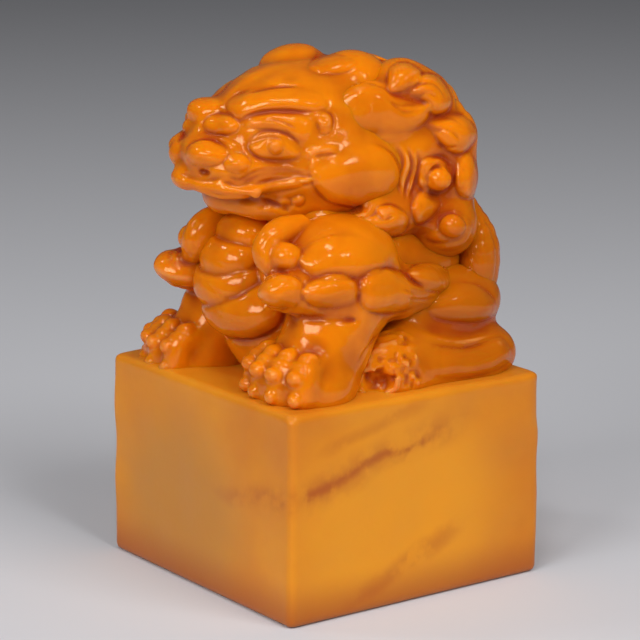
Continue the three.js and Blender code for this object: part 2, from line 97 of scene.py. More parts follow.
def pictured(x, y, z, head_turn=0.0):
    """The pixels at which points are seen, the other way round from the sightlines."""
    focal = LENS / SENSOR * PICTURE
    eye = turned(EYE_POINT - np.array([0, 0, BLOCK_TOP]), head_turn)
    offset = (x - eye[0], y - eye[1], z - eye[2])
    right, up, back = (
        sum(o * a for o, a in zip(offset, turned(axis, head_turn))) for axis in (EYE_RIGHT, EYE_UP, EYE_BACK)
    )
    return PICTURE / 2 - focal * right / back, PICTURE / 2 + focal * up / back


def seen(pixel, x=None, y=None, head_turn=0.0):
    """The point on a pixel's line of sight where it crosses the plane of that x or y."""
    eye, ways = sightlines(pixel, head_turn)
    way = ways[0]
    share = (x - eye[0]) / way[0] if y is None else (y - eye[1]) / way[1]
    return eye + share * way


# The stone's colour
# Amber soapstone: waxy and faintly clear, so light goes a little way in and comes back orange. Cuts and
# recesses are painted darker and red-brown as shade, and edges are paler, partly from wear and partly as a
# painted highlight.

# Colours, and the span of a reading of the skin over which each shade comes in: (place, level) twice
AMBER = (0.76, 0.207, 0.002)
DEEP_AMBER = (0.66, 0.165, 0.002)
# Painted shade, red in broad recesses
RECESS_SHADE_RED = (0.40, 0.055, 0.002)
# Painted shade, red-brown in the cuts
CUT_SHADE_BROWN = (0.36, 0.032, 0.002)
OLD_AMBER = (0.42, 0.095, 0.002)
SHADE_MIDDLE = (0.014, 0.015, 0.036)
# Paler pink on edges: partly wear, partly a painted highlight
WORN_AND_HIGHLIGHT_PINK = (0.80, 0.33, 0.09)
CUT_SHADE_SPAN = (0.58, 0), (0.90, 0.8)
WORN_AND_HIGHLIGHT_SPAN = (0.12, 0.5), (0.28, 0)
RECESS_SHADE_SPAN = (0.43, 0), (0.72, 0.85)
SHADE_SPAN = (0.007, 0.75), (0.019, 0)
ROUGH_SPAN = (0.50, 0.10), (0.80, 0.34)
GRAIN_HEIGHT = 0.0002


def node_tree(name):
    """A new material, and its node tree, emptied."""
    material = bpy.data.materials.new(name)
    material.use_nodes = True
    tree = material.node_tree
    tree.nodes.clear()
    return material, tree


def put(tree, kind, inputs=(), **settings):
    """A node with its settings; inputs says what some of its inputs get, each a socket or a plain value."""
    node = tree.nodes.new(kind)
    for key, value in settings.items():
        setattr(node, key, value)
    for target, value in inputs:
        if isinstance(value, bpy.types.NodeSocket):
            tree.links.new(value, node.inputs[target])
        else:
            node.inputs[target].default_value = value
    return node


def read(tree, attribute):
    """An attribute of the mesh, as the skin has it at each place."""
    return put(tree, "ShaderNodeAttribute", attribute_name=attribute).outputs["Fac"]


def noise(tree, place, scale, detail):
    """A cloudy noise over the places, with about so many clouds to a metre."""
    inputs = [("Vector", place), ("Scale", scale), ("Detail", detail)]
    return put(tree, "ShaderNodeTexNoise", inputs).outputs["Fac"]


def grained(tree, place, scale, detail, strength):
    """The skin's direction, bent by a fine noise of that strength."""
    grain = noise(tree, place, scale, detail)
    inputs = [("Height", grain), ("Strength", strength), ("Distance", GRAIN_HEIGHT)]
    return put(tree, "ShaderNodeBump", inputs).outputs["Normal"]


def away_from(tree, place, middle):
    """How far the places lie from a middle."""
    inputs = [(0, place), (1, tuple(middle))]
    return put(tree, "ShaderNodeVectorMath", inputs, operation="DISTANCE").outputs["Value"]


def ramp(tree, source, stops):
    """A colour ramp through (place, colour) stops."""
    node = put(tree, "ShaderNodeValToRGB", [("Fac", source)])
    elements = node.color_ramp.elements
    while len(elements) < len(stops):
        elements.new(0.5)
    for element, (place, colour) in zip(elements, stops):
        element.position = place
        element.color = (*colour, 1.0)
    return node.outputs["Color"]


def faded(tree, source, span):
    """A share that goes evenly from one level to another between two places of its source."""
    return ramp(tree, source, [(place, (level, level, level)) for place, level in span])


def mixed(tree, share, first, second):
    """The first colour, a socket, and as much of the second, a plain one, as the share says."""
    inputs = [(0, share), (6, first), (7, (*second, 1.0))]
    return put(tree, "ShaderNodeMix", inputs, data_type="RGBA").outputs[2]


def shown(tree, shader):
    """Let the shader be what the material shows."""
    put(tree, "ShaderNodeOutputMaterial", [("Surface", shader.outputs["BSDF"])])


def polished_amber():
    """Amber stone with painted shade, deeper in its recesses and red-brown in its cuts, and paler on its
    edges, partly from wear and partly as a painted highlight, as the mesh's recess and hollow attributes
    tell."""
    material, tree = node_tree("polished_amber")
    place = put(tree, "ShaderNodeTexCoord").outputs["Object"]
    recess, hollow = read(tree, "recess"), read(tree, "hollow")
    colour = ramp(tree, noise(tree, place, 150.0, 3.0), [(0.32, DEEP_AMBER), (0.5, AMBER)])
    # Then a darker patch round a middle, painted shade in recesses, paler edges that are partly wear and
    # partly a painted highlight, and painted shade in the cuts
    for source, span, shade in (
        (away_from(tree, place, SHADE_MIDDLE), SHADE_SPAN, OLD_AMBER),
        (recess, RECESS_SHADE_SPAN, RECESS_SHADE_RED),
        (hollow, WORN_AND_HIGHLIGHT_SPAN, WORN_AND_HIGHLIGHT_PINK),
        (hollow, CUT_SHADE_SPAN, CUT_SHADE_BROWN),
    ):
        colour = mixed(tree, faded(tree, source, span), colour, shade)
    shader = put(tree, "ShaderNodeBsdfPrincipled", [
        ("Base Color", colour),
        ("Roughness", faded(tree, hollow, ROUGH_SPAN)),
        ("Normal", grained(tree, place, 1500.0, 3.0, 0.14)),
        ("IOR", 1.5),
        ("Specular Tint", (1.0, 0.74, 0.50, 1.0)),
        ("Subsurface Weight", 0.55),
        ("Subsurface Radius", (1.0, 0.22, 0.03)),
        ("Subsurface Scale", 0.0022),
    ])
    shown(tree, shader)
    return material


amber_stone = polished_amber()


# Carving
# The lion is cut from the block with gravers and polished. Here a form is added to, or cut from, an even
# grid of distances to the skin of the stone, and the skin is then found between the grid's points.

# The distance given to air, the room round a form, and the photograph's pixels to a millimetre of stone
AIR = 9.0
MARGIN = 2.4
PIXELS_PER_MM = 7.4
# How far a crease reaches, and low relief's room in pixels and in millimetres, and its own crease
CREASE_EDGE = 0.45
PAD_MARGIN = 8
PAD_ROOM = 0.6
PAD_CREASE = 0.1
PAD_CREASE_WIDTH = 0.28
# The room before and behind a wound boss
WIND_ROOM = 0.6
# The press of a stroke at its ends, and how fast it comes in from them
LEAST_PRESS = 0.15
PRESS_EASE = 0.7
TINY = 1e-6


def eased(points, steps=4):
    """A smooth path through the points, with so many steps to a span: on each it is the cubic whose
    slopes at its ends are half the way between the neighbours, a Catmull-Rom curve."""
    points = np.asarray(points, float)
    if len(points) < 3:
        share = np.linspace(0, 1, steps + 1)[:, None]
        return points[0] + share * (points[-1] - points[0])
    ends = np.vstack([2 * points[0] - points[1], points, 2 * points[-1] - points[-2]])
    spans = []
    t = np.linspace(0, 1, steps, endpoint=False)[:, None]
    for a, b, c, d in zip(ends, ends[1:], ends[2:], ends[3:]):
        bend = (2 * a - 5 * b + 4 * c - d) * t**2
        spans.append(0.5 * (2 * b + (c - a) * t + bend + (3 * b - a - 3 * c + d) * t**3))
    return np.vstack([*spans, points[-1:]])


def lump(centre, size, lean=0.0, turn=0.0):
    """An egg of stone. Lean raises its back end and turn swings it round. Its distance is k (k - 1) / g,
    with k the scaled length of a point and g that of its gradient."""
    centre = np.asarray(centre, float)
    radii = np.asarray(size, float) / 2
    a, c = np.radians([lean, turn])
    about_x = np.array([[1, 0, 0], [0, np.cos(a), -np.sin(a)], [0, np.sin(a), np.cos(a)]])
    about_z = np.array([[np.cos(c), -np.sin(c), 0], [np.sin(c), np.cos(c), 0], [0, 0, 1]])
    axes = about_z @ about_x
    reach = np.sqrt((axes**2) @ radii**2)

    def distance(x, y, z):
        """The egg's distance at places, as its docstring gives it."""
        offset = (x - centre[0], y - centre[1], z - centre[2])
        scaled = [sum(offset[i] * axes[i, j] for i in range(3)) / radii[j] for j in range(3)]
        length = np.sqrt(sum(s * s for s in scaled)) + TINY
        slope = np.sqrt(sum((s / r) ** 2 for s, r in zip(scaled, radii))) + TINY
        return length * (length - 1) / slope

    return centre - reach, centre + reach, distance


def stretches(path, x, y, z, squash=None):
    """For each stretch of a path: the share of it at which the point nearest to each place lies, and the
    way from there to the place. A squash lengthens the ways before they are measured."""
    for a, b in zip(path, path[1:]):
        offset, along = [x - a[0], y - a[1], z - a[2]], b - a
        if squash is not None:
            offset, along = squash(offset), np.array(squash(along))
        share = np.clip(sum(o * s for o, s in zip(offset, along)) / max(along @ along, TINY), 0, 1)
        yield share, [o - share * s for o, s in zip(offset, along)]


def roll_of(points, radii, flat=None, squeeze=1.0):
    """A roll of stone along a smooth path, its radius eased from point to point. Across the flat
    direction it is thinner by the squeeze. Its distance is that to the nearest stretch of its path."""
    radii = np.broadcast_to(np.asarray(radii, float), len(points))
    path = eased(np.column_stack([points, radii]))
    spine, girth = path[:, :3], np.abs(path[:, 3])

    def squash(way):
        """The way, longer by the squeeze in the flat direction, in which the roll then comes out thinner."""
        pull = np.asarray(flat, float) / np.linalg.norm(flat)
        push = (squeeze - 1) * sum(w * p for w, p in zip(way, pull))
        return [w + push * p for w, p in zip(way, pull)]

    def distance(x, y, z):
        """The least of the distances to the stretches, less the radius there."""
        walk = stretches(spine, x, y, z, squash if flat is not None else None)
        gaps = (
            np.sqrt(sum(r * r for r in rest)) - (first + share * (last - first))
            for (share, rest), first, last in zip(walk, girth, girth[1:])
        )
        return functools.reduce(np.minimum, gaps)

    return spine.min(0) - girth.max(), spine.max(0) + girth.max(), distance


class Carving:
    """Stone under the graver: a grid of distances, in millimetres, that is as wide to the left of the
    lion's middle as to the right, so that a form can be carved on both sides at once."""

    def __init__(self, half_width, low, high, pitch, head_turn=0.0):
        columns = int(np.ceil(half_width / pitch))
        self.pitch = pitch
        self.head_turn = head_turn
        self.low = np.array([-columns * pitch, *low], float)
        rows = np.ceil((np.array(high, float) - low) / pitch).astype(int) + 1
        self.skin = np.full((2 * columns + 1, *rows), AIR, np.float32)

    def windows(self, low, high, both, margin=MARGIN):
        """The part of the grid within a margin of a box, with its coordinates; for both sides, its mirror
        too."""
        first = np.clip(np.floor((low - margin - self.low) / self.pitch), 0, None).astype(int)
        last = np.ceil((high + margin - self.low) / self.pitch).astype(int) + 1
        last = np.minimum(last, self.skin.shape)
        part = tuple(slice(a, b) for a, b in zip(first, last))
        axes = [
            (self.low[i] + self.pitch * np.arange(first[i], last[i])).astype(np.float32) for i in range(3)
        ]
        x, y, z = np.meshgrid(*axes, indexing="ij", sparse=True)
        sides = [self.skin, self.skin[::-1]] if both else [self.skin]
        return [side[part] for side in sides], x, y, z

    def add(self, form, both=False, blend=0.4, crease=0.25):
        """Join a form on: the lower of the two distances, less (blend - their difference)^2 / (4 blend)
        where they are closer than the blend. The skin beside it is first sunk by the crease."""
        low, high, distance = form
        skins, x, y, z = self.windows(low, high, both)
        own = distance(x, y, z)
        sunk = crease * np.exp(-((np.maximum(own, 0) / CREASE_EDGE) ** 2))
        for skin in skins:
            old = skin + sunk
            overlap = np.maximum(blend - np.abs(old - own), 0) / blend
            skin[...] = np.minimum(old, own) - overlap**2 * blend / 4

    def pad(self, outline, height, edge, lost=None, both=False):
        """Low relief inside a closed smooth outline of pixels. It rises by the height over the edge, as
        1 - (1 - t)^2, and a crease runs along the outline. It fades away towards the lost end, a pixel.
        How far inside a pixel lies is worked out once on a grid of pixels, and then read at each place."""
        corners = np.asarray(outline, float)
        steps = 4
        ring = eased(np.vstack([corners[-1:], corners, corners[:2]]), steps)[steps:-steps]
        points = self.at(*outline)
        low, high = points.min(0) - PAD_ROOM, points.max(0) + PAD_ROOM
        if both:
            low[0] = max(low[0], MARGIN)
        skins, x, y, z = self.windows(low, high, both)
        u, v = pictured(x, y, z, self.head_turn)
        low = ring.min(0) - PAD_MARGIN
        spans = np.ceil(np.ptp(ring, axis=0) + 2 * PAD_MARGIN).astype(int) + 1
        across, down = (np.arange(span) for span in spans)
        grid = np.stack(np.meshgrid(across + low[0], down + low[1], indexing="ij"), -1)
        nearest = np.full(grid.shape[:2], np.inf)
        inside = np.zeros(grid.shape[:2], bool)
        for a, b in zip(ring, ring[1:]):
            along = b - a
            share = np.clip((grid - a) @ along / max(along @ along, TINY), 0, 1)
            nearest = np.minimum(nearest, ((grid - a - share[..., None] * along) ** 2).sum(-1))
            level = (a[1] > grid[..., 1]) != (b[1] > grid[..., 1])
            rise = along[1] if along[1] else TINY
            inside ^= level & (grid[..., 0] < a[0] + (grid[..., 1] - a[1]) * along[0] / rise)
        depth = np.where(inside, 1, -1) * np.sqrt(nearest) / PIXELS_PER_MM
        i = np.clip(u - low[0], 0, depth.shape[0] - 1.001)
        j = np.clip(v - low[1], 0, depth.shape[1] - 1.001)
        i0, j0 = i.astype(int), j.astype(int)
        fi, fj = i - i0, j - j0
        within = (depth[i0, j0] * (1 - fi) + depth[i0 + 1, j0] * fi) * (1 - fj)
        within += (depth[i0, j0 + 1] * (1 - fi) + depth[i0 + 1, j0 + 1] * fi) * fj
        raised = height * (1 - (1 - np.clip(within / edge, 0, 1)) ** 2)
        sunk = PAD_CREASE * np.exp(-((within / PAD_CREASE_WIDTH) ** 2))
        if lost is not None:
            way = corners.mean(0) - lost
            share = np.clip(((u - lost[0]) * way[0] + (v - lost[1]) * way[1]) / (way @ way), 0, 1)
            share = share * share * (3 - 2 * share)
            raised, sunk = raised * share, sunk * share
        for skin in skins:
            skin -= (raised - sunk).astype(np.float32)

    def cut(self, form, blend, both=False):
        """Cut a form away: the higher of the skin's distance and the form's own turned round, eased as in
        add."""
        low, high, distance = form
        skins, x, y, z = self.windows(low, high, both)
        own = -distance(x, y, z)
        for skin in skins:
            overlap = np.maximum(blend - np.abs(skin - own), 0) / blend
            skin[...] = np.maximum(skin, own) + overlap**2 * blend / 4

    def stroke(self, points, depth, width, both=False):
        """A graver's stroke along points on the skin: it sinks by the depth times e^-(gap / width)^2, and
        is pressed less hard towards its ends. A depth below zero raises a bead instead."""
        path = eased(points)
        steps = np.linspace(0, 1, len(path))
        press = np.clip(4 * np.minimum(steps, 1 - steps), 0.0, 1.0) ** PRESS_EASE
        press = np.maximum(press, LEAST_PRESS)
        skins, x, y, z = self.windows(path.min(0), path.max(0), both)
        nearest, force = np.inf, 0.0
        for (share, rest), first, last in zip(stretches(path, x, y, z), press, press[1:]):
            gap = sum(r * r for r in rest)
            force = np.where(gap < nearest, first + share * (last - first), force)
            nearest = np.minimum(gap, nearest)
        sunk = depth * force * np.exp(-nearest / width**2)
        for skin in skins:
            skin += sunk

    def wind(self, centre, facing, radius, turns, depth, both=False):
        """A spiral groove on a boss: it sinks where the turns of a point, less its radius in pitches of
        the spiral, are near a whole number, and fades out at its rim and at its middle."""
        centre = np.asarray(centre, float)
        out = np.asarray(facing, float) / np.linalg.norm(facing)
        side = np.cross([0, 0, 1], out)
        side /= np.linalg.norm(side)
        top = np.cross(out, side)
        skins, x, y, z = self.windows(centre - radius, centre + radius, both)
        offset = [x - centre[0], y - centre[1], z - centre[2]]
        across, up, forward = (sum(o * w for o, w in zip(offset, way)) for way in (side, top, out))
        spread = np.sqrt(across**2 + up**2)
        phase = spread / radius * turns - np.arctan2(up, across) / (2 * np.pi)
        groove = (0.5 + 0.5 * np.cos(2 * np.pi * phase)) ** 3
        fade = np.clip(4 * (1 - spread / radius), 0, 1) * np.clip(5 * spread / radius, 0, 1)
        fade = fade * np.clip(1 - np.abs(forward) / (radius + WIND_ROOM), 0, 1)
        for skin in skins:
            skin += depth * groove * fade

    def comb(self, points, reach, pitch, depth, fan, across):
        """Strands combed along a path: grooves a pitch apart, counted across it, that fade out at its
        reach. A fan below one draws them together towards the path's end."""
        path = eased(points)
        across = np.asarray(across, float) / np.linalg.norm(across)
        skins, x, y, z = self.windows(path.min(0) - reach, path.max(0) + reach, both=False)
        nearest, lateral, travel = np.inf, 0.0, 0.0
        for number, (share, rest) in enumerate(stretches(path, x, y, z)):
            gap = sum(r * r for r in rest)
            closer = gap < nearest
            lateral = np.where(closer, sum(r * w for r, w in zip(rest, across)), lateral)
            travel = np.where(closer, (number + share) / (len(path) - 1), travel)
            nearest = np.minimum(gap, nearest)
        spacing = pitch * (1 + (fan - 1) * travel)
        groove = (0.5 + 0.5 * np.cos(2 * np.pi * lateral / spacing)) ** 2
        fade = np.clip(1 - nearest / reach**2, 0, 1) * np.clip(6 * np.minimum(travel, 1 - travel), 0, 1)
        for skin in skins:
            skin += depth * groove * fade

    def roughen(self, low, high, size, depth, both=False, seed=1):
        """Broken stone in a box: a random lattice of that size, eased between its points, added to the
        skin and faded towards the box's sides."""
        low, high = np.asarray(low, float), np.asarray(high, float)
        skins, x, y, z = self.windows(low, high, both, 0.0)
        cells = np.ceil((high - low) / size).astype(int) + 2
        lattice = np.random.default_rng(seed).uniform(-1, 1, cells)
        for axis, line in enumerate((x.ravel(), y.ravel(), z.ravel())):
            place = np.clip((line - low[axis]) / size, 0, cells[axis] - 1.001)
            cell = place.astype(int)
            share = place - cell
            share = share * share * (3 - 2 * share)
            shape = [1, 1, 1]
            shape[axis] = -1
            share = share.reshape(shape)
            lattice = np.take(lattice, cell, axis) * (1 - share) + np.take(lattice, cell + 1, axis) * share
        middle, half = (low + high) / 2, (high - low) / 2
        box = [np.clip((1 - np.abs(line - m) / h) * 3, 0, 1) for line, m, h in zip((x, y, z), middle, half)]
        for skin in skins:
            skin += depth * lattice * box[0] * box[1] * box[2]

    def sampled(self, points, field=None):
        """The grid's value at points, eased between the eight grid points round each."""
        field = self.skin if field is None else field
        place = (np.asarray(points, float) - self.low) / self.pitch
        place = np.clip(place, 0, np.array(field.shape) - 1.001)
        cell = place.astype(int)
        share = place - cell
        total = 0.0
        for corner in np.ndindex(2, 2, 2):
            weight = np.prod(np.where(corner, share, 1 - share), axis=-1)
            total = total + weight * field[tuple((cell + corner).T)]
        return total

    def struck(self, starts, ways, reach):
        """Where lines from the starts first meet the skin: the first step that is inside it, drawn back
        by the share of the step that its distances before and after give."""
        steps = np.arange(0, reach, self.pitch)
        ways = ways / np.linalg.norm(ways, axis=-1, keepdims=True)
        points = starts[:, None, :] + steps[None, :, None] * ways[:, None, :]
        values = self.sampled(points.reshape(-1, 3)).reshape(len(starts), -1)
        inside = values < 0
        first = np.where(inside.any(1), inside.argmax(1), np.abs(values).argmin(1))
        first = np.maximum(first, 1)
        rows = np.arange(len(starts))
        before, after = values[rows, first - 1], values[rows, first]
        share = np.clip(before / np.where(before == after, 1, before - after), 0, 1)
        return starts + (steps[first - 1] + share * self.pitch)[:, None] * ways

    def at(self, *pixels):
        """The points of the skin that are seen at pixels of the photograph."""
        eye, ways = sightlines(pixels, self.head_turn)
        ways = ways / np.linalg.norm(ways, axis=-1, keepdims=True)
        middle = self.low + self.pitch * np.array(self.skin.shape) / 2
        span = self.pitch * max(self.skin.shape)
        near = np.linalg.norm(middle - eye) - span
        return self.struck(eye + near * ways, ways, 2 * span)

    def above(self, pixel, rise):
        """The point that lies so far above the skin seen at a pixel of the photograph, square to it: along
        the slope of the distances there."""
        point = self.at(pixel)
        slope = np.array([self.sampled(point + way) - self.sampled(point - way) for way in np.eye(3) / 2])
        return point[0] + rise * slope[:, 0] / np.linalg.norm(slope)


# The distance kept at the grid's ends, so that the skin closes there, and the least slope that a vertex is
# drawn down
CLOSED = 0.02
LEAST_SLOPE = 0.2


def skin_mesh(stone):
    """The skin as vertices and quads, closed at the grid's ends. Each grid cell that the skin crosses gets
    one vertex, at the mean of the crossings on its edges and then drawn onto the skin, and each crossed
    edge joins its four cells."""
    skin = stone.skin

    def neighbours(field, axis, inner=slice(None)):
        """The field, and the field one step on along an axis, over an inner part of the other axes."""
        pair = []
        for span in (slice(0, -1), slice(1, None)):
            part = [inner] * 3
            part[axis] = span
            pair.append(field[tuple(part)])
        return pair

    for axis in range(3):
        ends = np.moveaxis(skin, axis, 0)
        ends[[0, -1]] = np.maximum(ends[[0, -1]], CLOSED)
    inside = skin < 0
    cells = tuple(n - 1 for n in skin.shape)
    count = np.zeros(cells, np.int8)
    total = np.zeros((*cells, 3), np.float32)
    for axis in range(3):
        a, b = neighbours(skin, axis)
        crossed = np.not_equal(*neighbours(inside, axis))
        share = np.where(crossed, a / np.where(crossed, a - b, 1), 0)
        others = [i for i in range(3) if i != axis]
        for corner in np.ndindex(2, 2):
            part = [slice(None)] * 3
            for other, shift in zip(others, corner):
                part[other] = slice(shift, skin.shape[other] - 1 + shift)
            here = crossed[tuple(part)]
            count += here
            total[..., axis] += share[tuple(part)] * here
            for other, shift in zip(others, corner):
                total[..., other] += shift * here
    used = count > 0
    number = np.full(cells, -1, np.int64)
    number[used] = np.arange(used.sum())
    points = np.argwhere(used) + total[used] / count[used][:, None]
    points = stone.low + stone.pitch * points
    quads = []
    for axis in range(3):
        here, there = neighbours(inside, axis, slice(1, -1))
        outward = here[here != there]
        base = np.argwhere(here != there)
        ring = []
        for back in ((1, 1), (0, 1), (0, 0), (1, 0)):
            shift = np.insert(back, axis, 0)
            ring.append(number[tuple((base + shift).T)])
        ring = np.column_stack(ring)
        flip = outward if axis != 1 else ~outward
        quads.append(np.where(flip[:, None], ring, ring[:, ::-1]))
    for _ in range(2):
        reach = 0.5 * stone.pitch
        slope = np.column_stack([
            stone.sampled(points + reach * way) - stone.sampled(points - reach * way) for way in np.eye(3)
        ]) / (2 * reach)
        off = stone.sampled(points)[:, None] * slope / np.maximum((slope**2).sum(1), LEAST_SLOPE)[:, None]
        points = points - np.clip(off, -reach, reach)
    return points, np.vstack(quads)


def blurred(field, radius):
    """A box blur: running means along each axis in turn, over a span of twice the radius and one."""
    for axis in range(3):
        pad = [(0, 0)] * 3
        pad[axis] = (radius + 1, radius)
        total = np.cumsum(np.pad(field, pad, mode="edge"), axis=axis, dtype=np.float32)
        last = np.take(total, np.arange(2 * radius + 1, total.shape[axis]), axis)
        first = np.take(total, np.arange(0, total.shape[axis] - 2 * radius - 1), axis)
        field = (last - first) / (2 * radius + 1)
    return field


# The spans of the two blurs and the distances that they take in, in millimetres, and how much they tell
DIP_SPANS = {"hollow": 0.5, "recess": 1.8}
DIP_DEPTH = 3
DIP_GAIN = 1.2


def carved_piece(name, stone, material):
    """An object of the carving's skin, in metres on the block's top. Its hollow and recess attributes are
    half, less what a blur of the distances over a span adds to them: high in a cut and low on an edge."""
    points, quads = skin_mesh(stone)
    dips = {}
    for dip, span in DIP_SPANS.items():
        soft = blurred(np.clip(stone.skin, -DIP_DEPTH, DIP_DEPTH), max(1, round(span / stone.pitch)))
        dips[dip] = np.clip(0.5 - DIP_GAIN * stone.sampled(points, soft) / span, 0, 1)
    points = (turned(points, -stone.head_turn) + [0, 0, BLOCK_TOP]) * MM
    mesh = bpy.data.meshes.new(name)
    mesh.vertices.add(len(points))
    mesh.vertices.foreach_set("co", points.astype(np.float32).ravel())
    mesh.loops.add(quads.size)
    mesh.loops.foreach_set("vertex_index", quads.astype(np.int32).ravel())
    mesh.polygons.add(len(quads))
    mesh.polygons.foreach_set("loop_start", np.arange(0, quads.size, 4, dtype=np.int32))
    mesh.polygons.foreach_set("use_smooth", np.ones(len(quads), bool))
    mesh.update(calc_edges=True)
    mesh.validate()
    for dip, values in dips.items():
        mesh.attributes.new(dip, "FLOAT", "POINT").data.foreach_set("value", values.astype(np.float32))
    mesh.materials.append(material)
    piece = bpy.data.objects.new(name, mesh)
    bpy.context.collection.objects.link(piece)
    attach(piece, "root")
    print(name, 2 * len(quads), "triangles")
    return piece


# The trunk
# The body of the crouching lion: an egg-shaped trunk, with four plates like overlapping shells down its
# chest. It is one stone with the block, and its foot goes down into the block's top.

trunk = Carving(15, (-19.5, -0.5), (19, 26), 0.3)
trunk.add(lump((0, 3, 10.5), (25, 30, 27)))
trunk.add(lump((0, -6, 8), (17, 18, 20)), blend=2.0)
trunk.add(lump((0, 10, 14), (24, 15, 14)), blend=2.0, crease=0)

# The chest's plates from the lowest up: a pixel of each, how far forward it lies, and its size
chest = [
    ((243, 304), 12.8, (14.8, 9.2, 7.0)),
    ((230, 279), 13.0, (12.2, 9.0, 7.0)),
    ((231, 255), 12.8, (9.8, 8.0, 6.2)),
    ((242, 231), 11.4, (8.2, 6.6, 5.4)),
]
for pixel, forward, size in chest:
    trunk.add(lump(seen(pixel, y=-forward), size, lean=45), blend=0.35, crease=0.25)

# A line cut along the lower edge of three of them
for rim in (
    [(203, 277), (211, 288), (224, 296), (240, 296), (252, 289)],
    [(214, 309), (226, 318), (242, 322), (258, 319), (272, 311)],
    [(213, 257), (221, 265), (232, 268), (244, 265)],
):
    trunk.stroke(trunk.at(*rim), depth=0.16, width=0.2)

# The graver's hand shows as a slight waviness all over
trunk.roughen((-15, -19, 0), (15, 19, 24), size=2.4, depth=0.2)
carved_trunk = carved_piece("carved_trunk", trunk, amber_stone)
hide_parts("torso", "chest_plate_1", "chest_plate_2", "chest_plate_3", "chest_plate_4")


# The back legs
# Haunches folded at the lion's sides, over long back feet that lie along the block's edge. Between the
# near back paw and the front leg the stone is left broken and rough.

def sighted(*places):
    """The points of a path, each from its pixel and how far to the lion's left it lies."""
    return [seen((u, v), x=side) for u, v, side in places]


def back_leg():
    """A haunch, shank and back foot on the lion's left, joined from lumps and rolls and then cut."""
    leg = Carving(20.4, (-9, -0.5), (19.8, 19), 0.28)
    leg.add(lump((8.6, 8.6, 6.2), (13.5, 18.0, 13.5)))
    leg.add(lump(seen((456, 300), x=11.2), (9.6, 12.6, 9.0)), blend=2.6, crease=0)
    shin = sighted((408, 348, 13.6), (436, 356, 14.6), (470, 362, 14.6), (489, 355, 13.4))
    leg.add(roll_of(shin, [2.0, 2.7, 2.9, 2.5]), blend=2.4, crease=0)
    leg.add(lump((13.9, 15.4, 2.2), (7.4, 7.8, 6.6)), blend=2.0, crease=0)
    foot = [(15.0, -4.5, 0.6), (15.4, 4, 0.8), (15.2, 13, 0.6)]
    leg.add(roll_of(foot, [2.2, 2.4, 2.4]), blend=1.6, crease=0.1)

    # The broken stone before the foot, with a hole in it
    leg.add(lump(seen((392, 368), x=14.2), (8.0, 10.8, 9.4), lean=6), blend=1.6, crease=0.1)
    leg.cut(lump(seen((371, 384), x=17.0), (4.2, 6.4, 3.8)), blend=0.8)

    # The haunch's ball and the shank in low relief, and the folds and scales cut over them
    ball = [(424, 300), (434, 288), (456, 282), (480, 286), (496, 303), (491, 318), (462, 323), (434, 318)]
    leg.pad(ball, 0.7, edge=2.2, lost=(440, 276))
    shank = [(419, 341), (440, 346), (470, 347), (500, 337), (512, 356), (492, 372), (450, 379), (424, 372)]
    leg.pad(shank, 0.45, edge=1.6, lost=(410, 366))
    leg.stroke(leg.at((420, 325), (450, 333), (491, 326)), depth=0.35, width=1.1)
    leg.stroke(leg.at((424, 336), (455, 343), (494, 336)), depth=-0.3, width=0.5)
    leg.stroke(leg.at((371, 357), (385, 346), (400, 338)), depth=-0.35, width=0.5)
    leg.stroke(leg.at((385, 359), (402, 366), (424, 381)), depth=0.35, width=0.32)
    for scale in (
        [(378, 360), (384, 366), (380, 374)], [(392, 350), (398, 357), (396, 364)],
        [(400, 372), (408, 377), (406, 385)], [(390, 369), (396, 375), (392, 384)],
        [(404, 354), (411, 360), (409, 368)], [(414, 368), (420, 374), (417, 382)],
    ):
        leg.stroke(leg.at(*scale), depth=0.35, width=0.3)
    leg.roughen((12.5, -8.0, -0.5), (20.4, 2.2, 7.6), size=0.8, depth=0.4)
    leg.roughen((0, -9, 0), (20, 19.6, 18), size=2.6, depth=0.25, seed=3)
    return leg


def back_leg_piece(side, stone):
    """The back leg's object, in place of its solids."""
    piece = carved_piece(f"carved_{side}_back_leg", stone, amber_stone)
    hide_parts(*(f"{side}_{part}" for part in ("haunch", "shank", "hind_paw")))


def other_side(stone, drawn_in=0.0, sunk=0.0):
    """The carving mirrored onto the lion's other side: its grid read from the other end, and moved so far
    in to the middle and down."""
    stone.skin = stone.skin[::-1].copy()
    stone.low += [drawn_in, 0, -sunk]
    return stone


back_leg_piece("left", back_leg())
back_leg_piece("right", other_side(back_leg()))


# The tail
# A flame of hair that starts low on the rump and is laid up against it, combed in long strands.

LEFT = np.array([1.0, 0, 0])
FRONT = np.array([0, -1.0, 0])

# The tail's flames, the broadest first: each one's path, its radii along it, the way in which it is
# thinner, and the blend and the crease with which it is joined on
flames = [
    ([(6.5, 15.2, 1.5), (10.0, 15.8, 8.5), (11.2, 16.2, 15), (9.4, 15.6, 20.2)], [3.0, 3.4, 3.2, 1.7],
     (0.6, 0.8, 0), 0.4, 0.25),
    ([(3.6, 16.2, 1.2), (3.8, 16.8, 9), (1.6, 16.2, 17.4)], [2.7, 2.8, 1.2], FRONT, 0.3, 0.5),
    ([(0.0, 16.6, 1.2), (-2.2, 16.8, 7), (-4.4, 16.2, 13)], [2.6, 2.6, 1.0], FRONT, 0.3, 0.5),
    ([(8.0, 15.6, 1.2), (11.8, 14.8, 5.5), (13.2, 13.6, 10.5)], [2.0, 2.2, 0.9], FRONT, 0.3, 0.4),
]

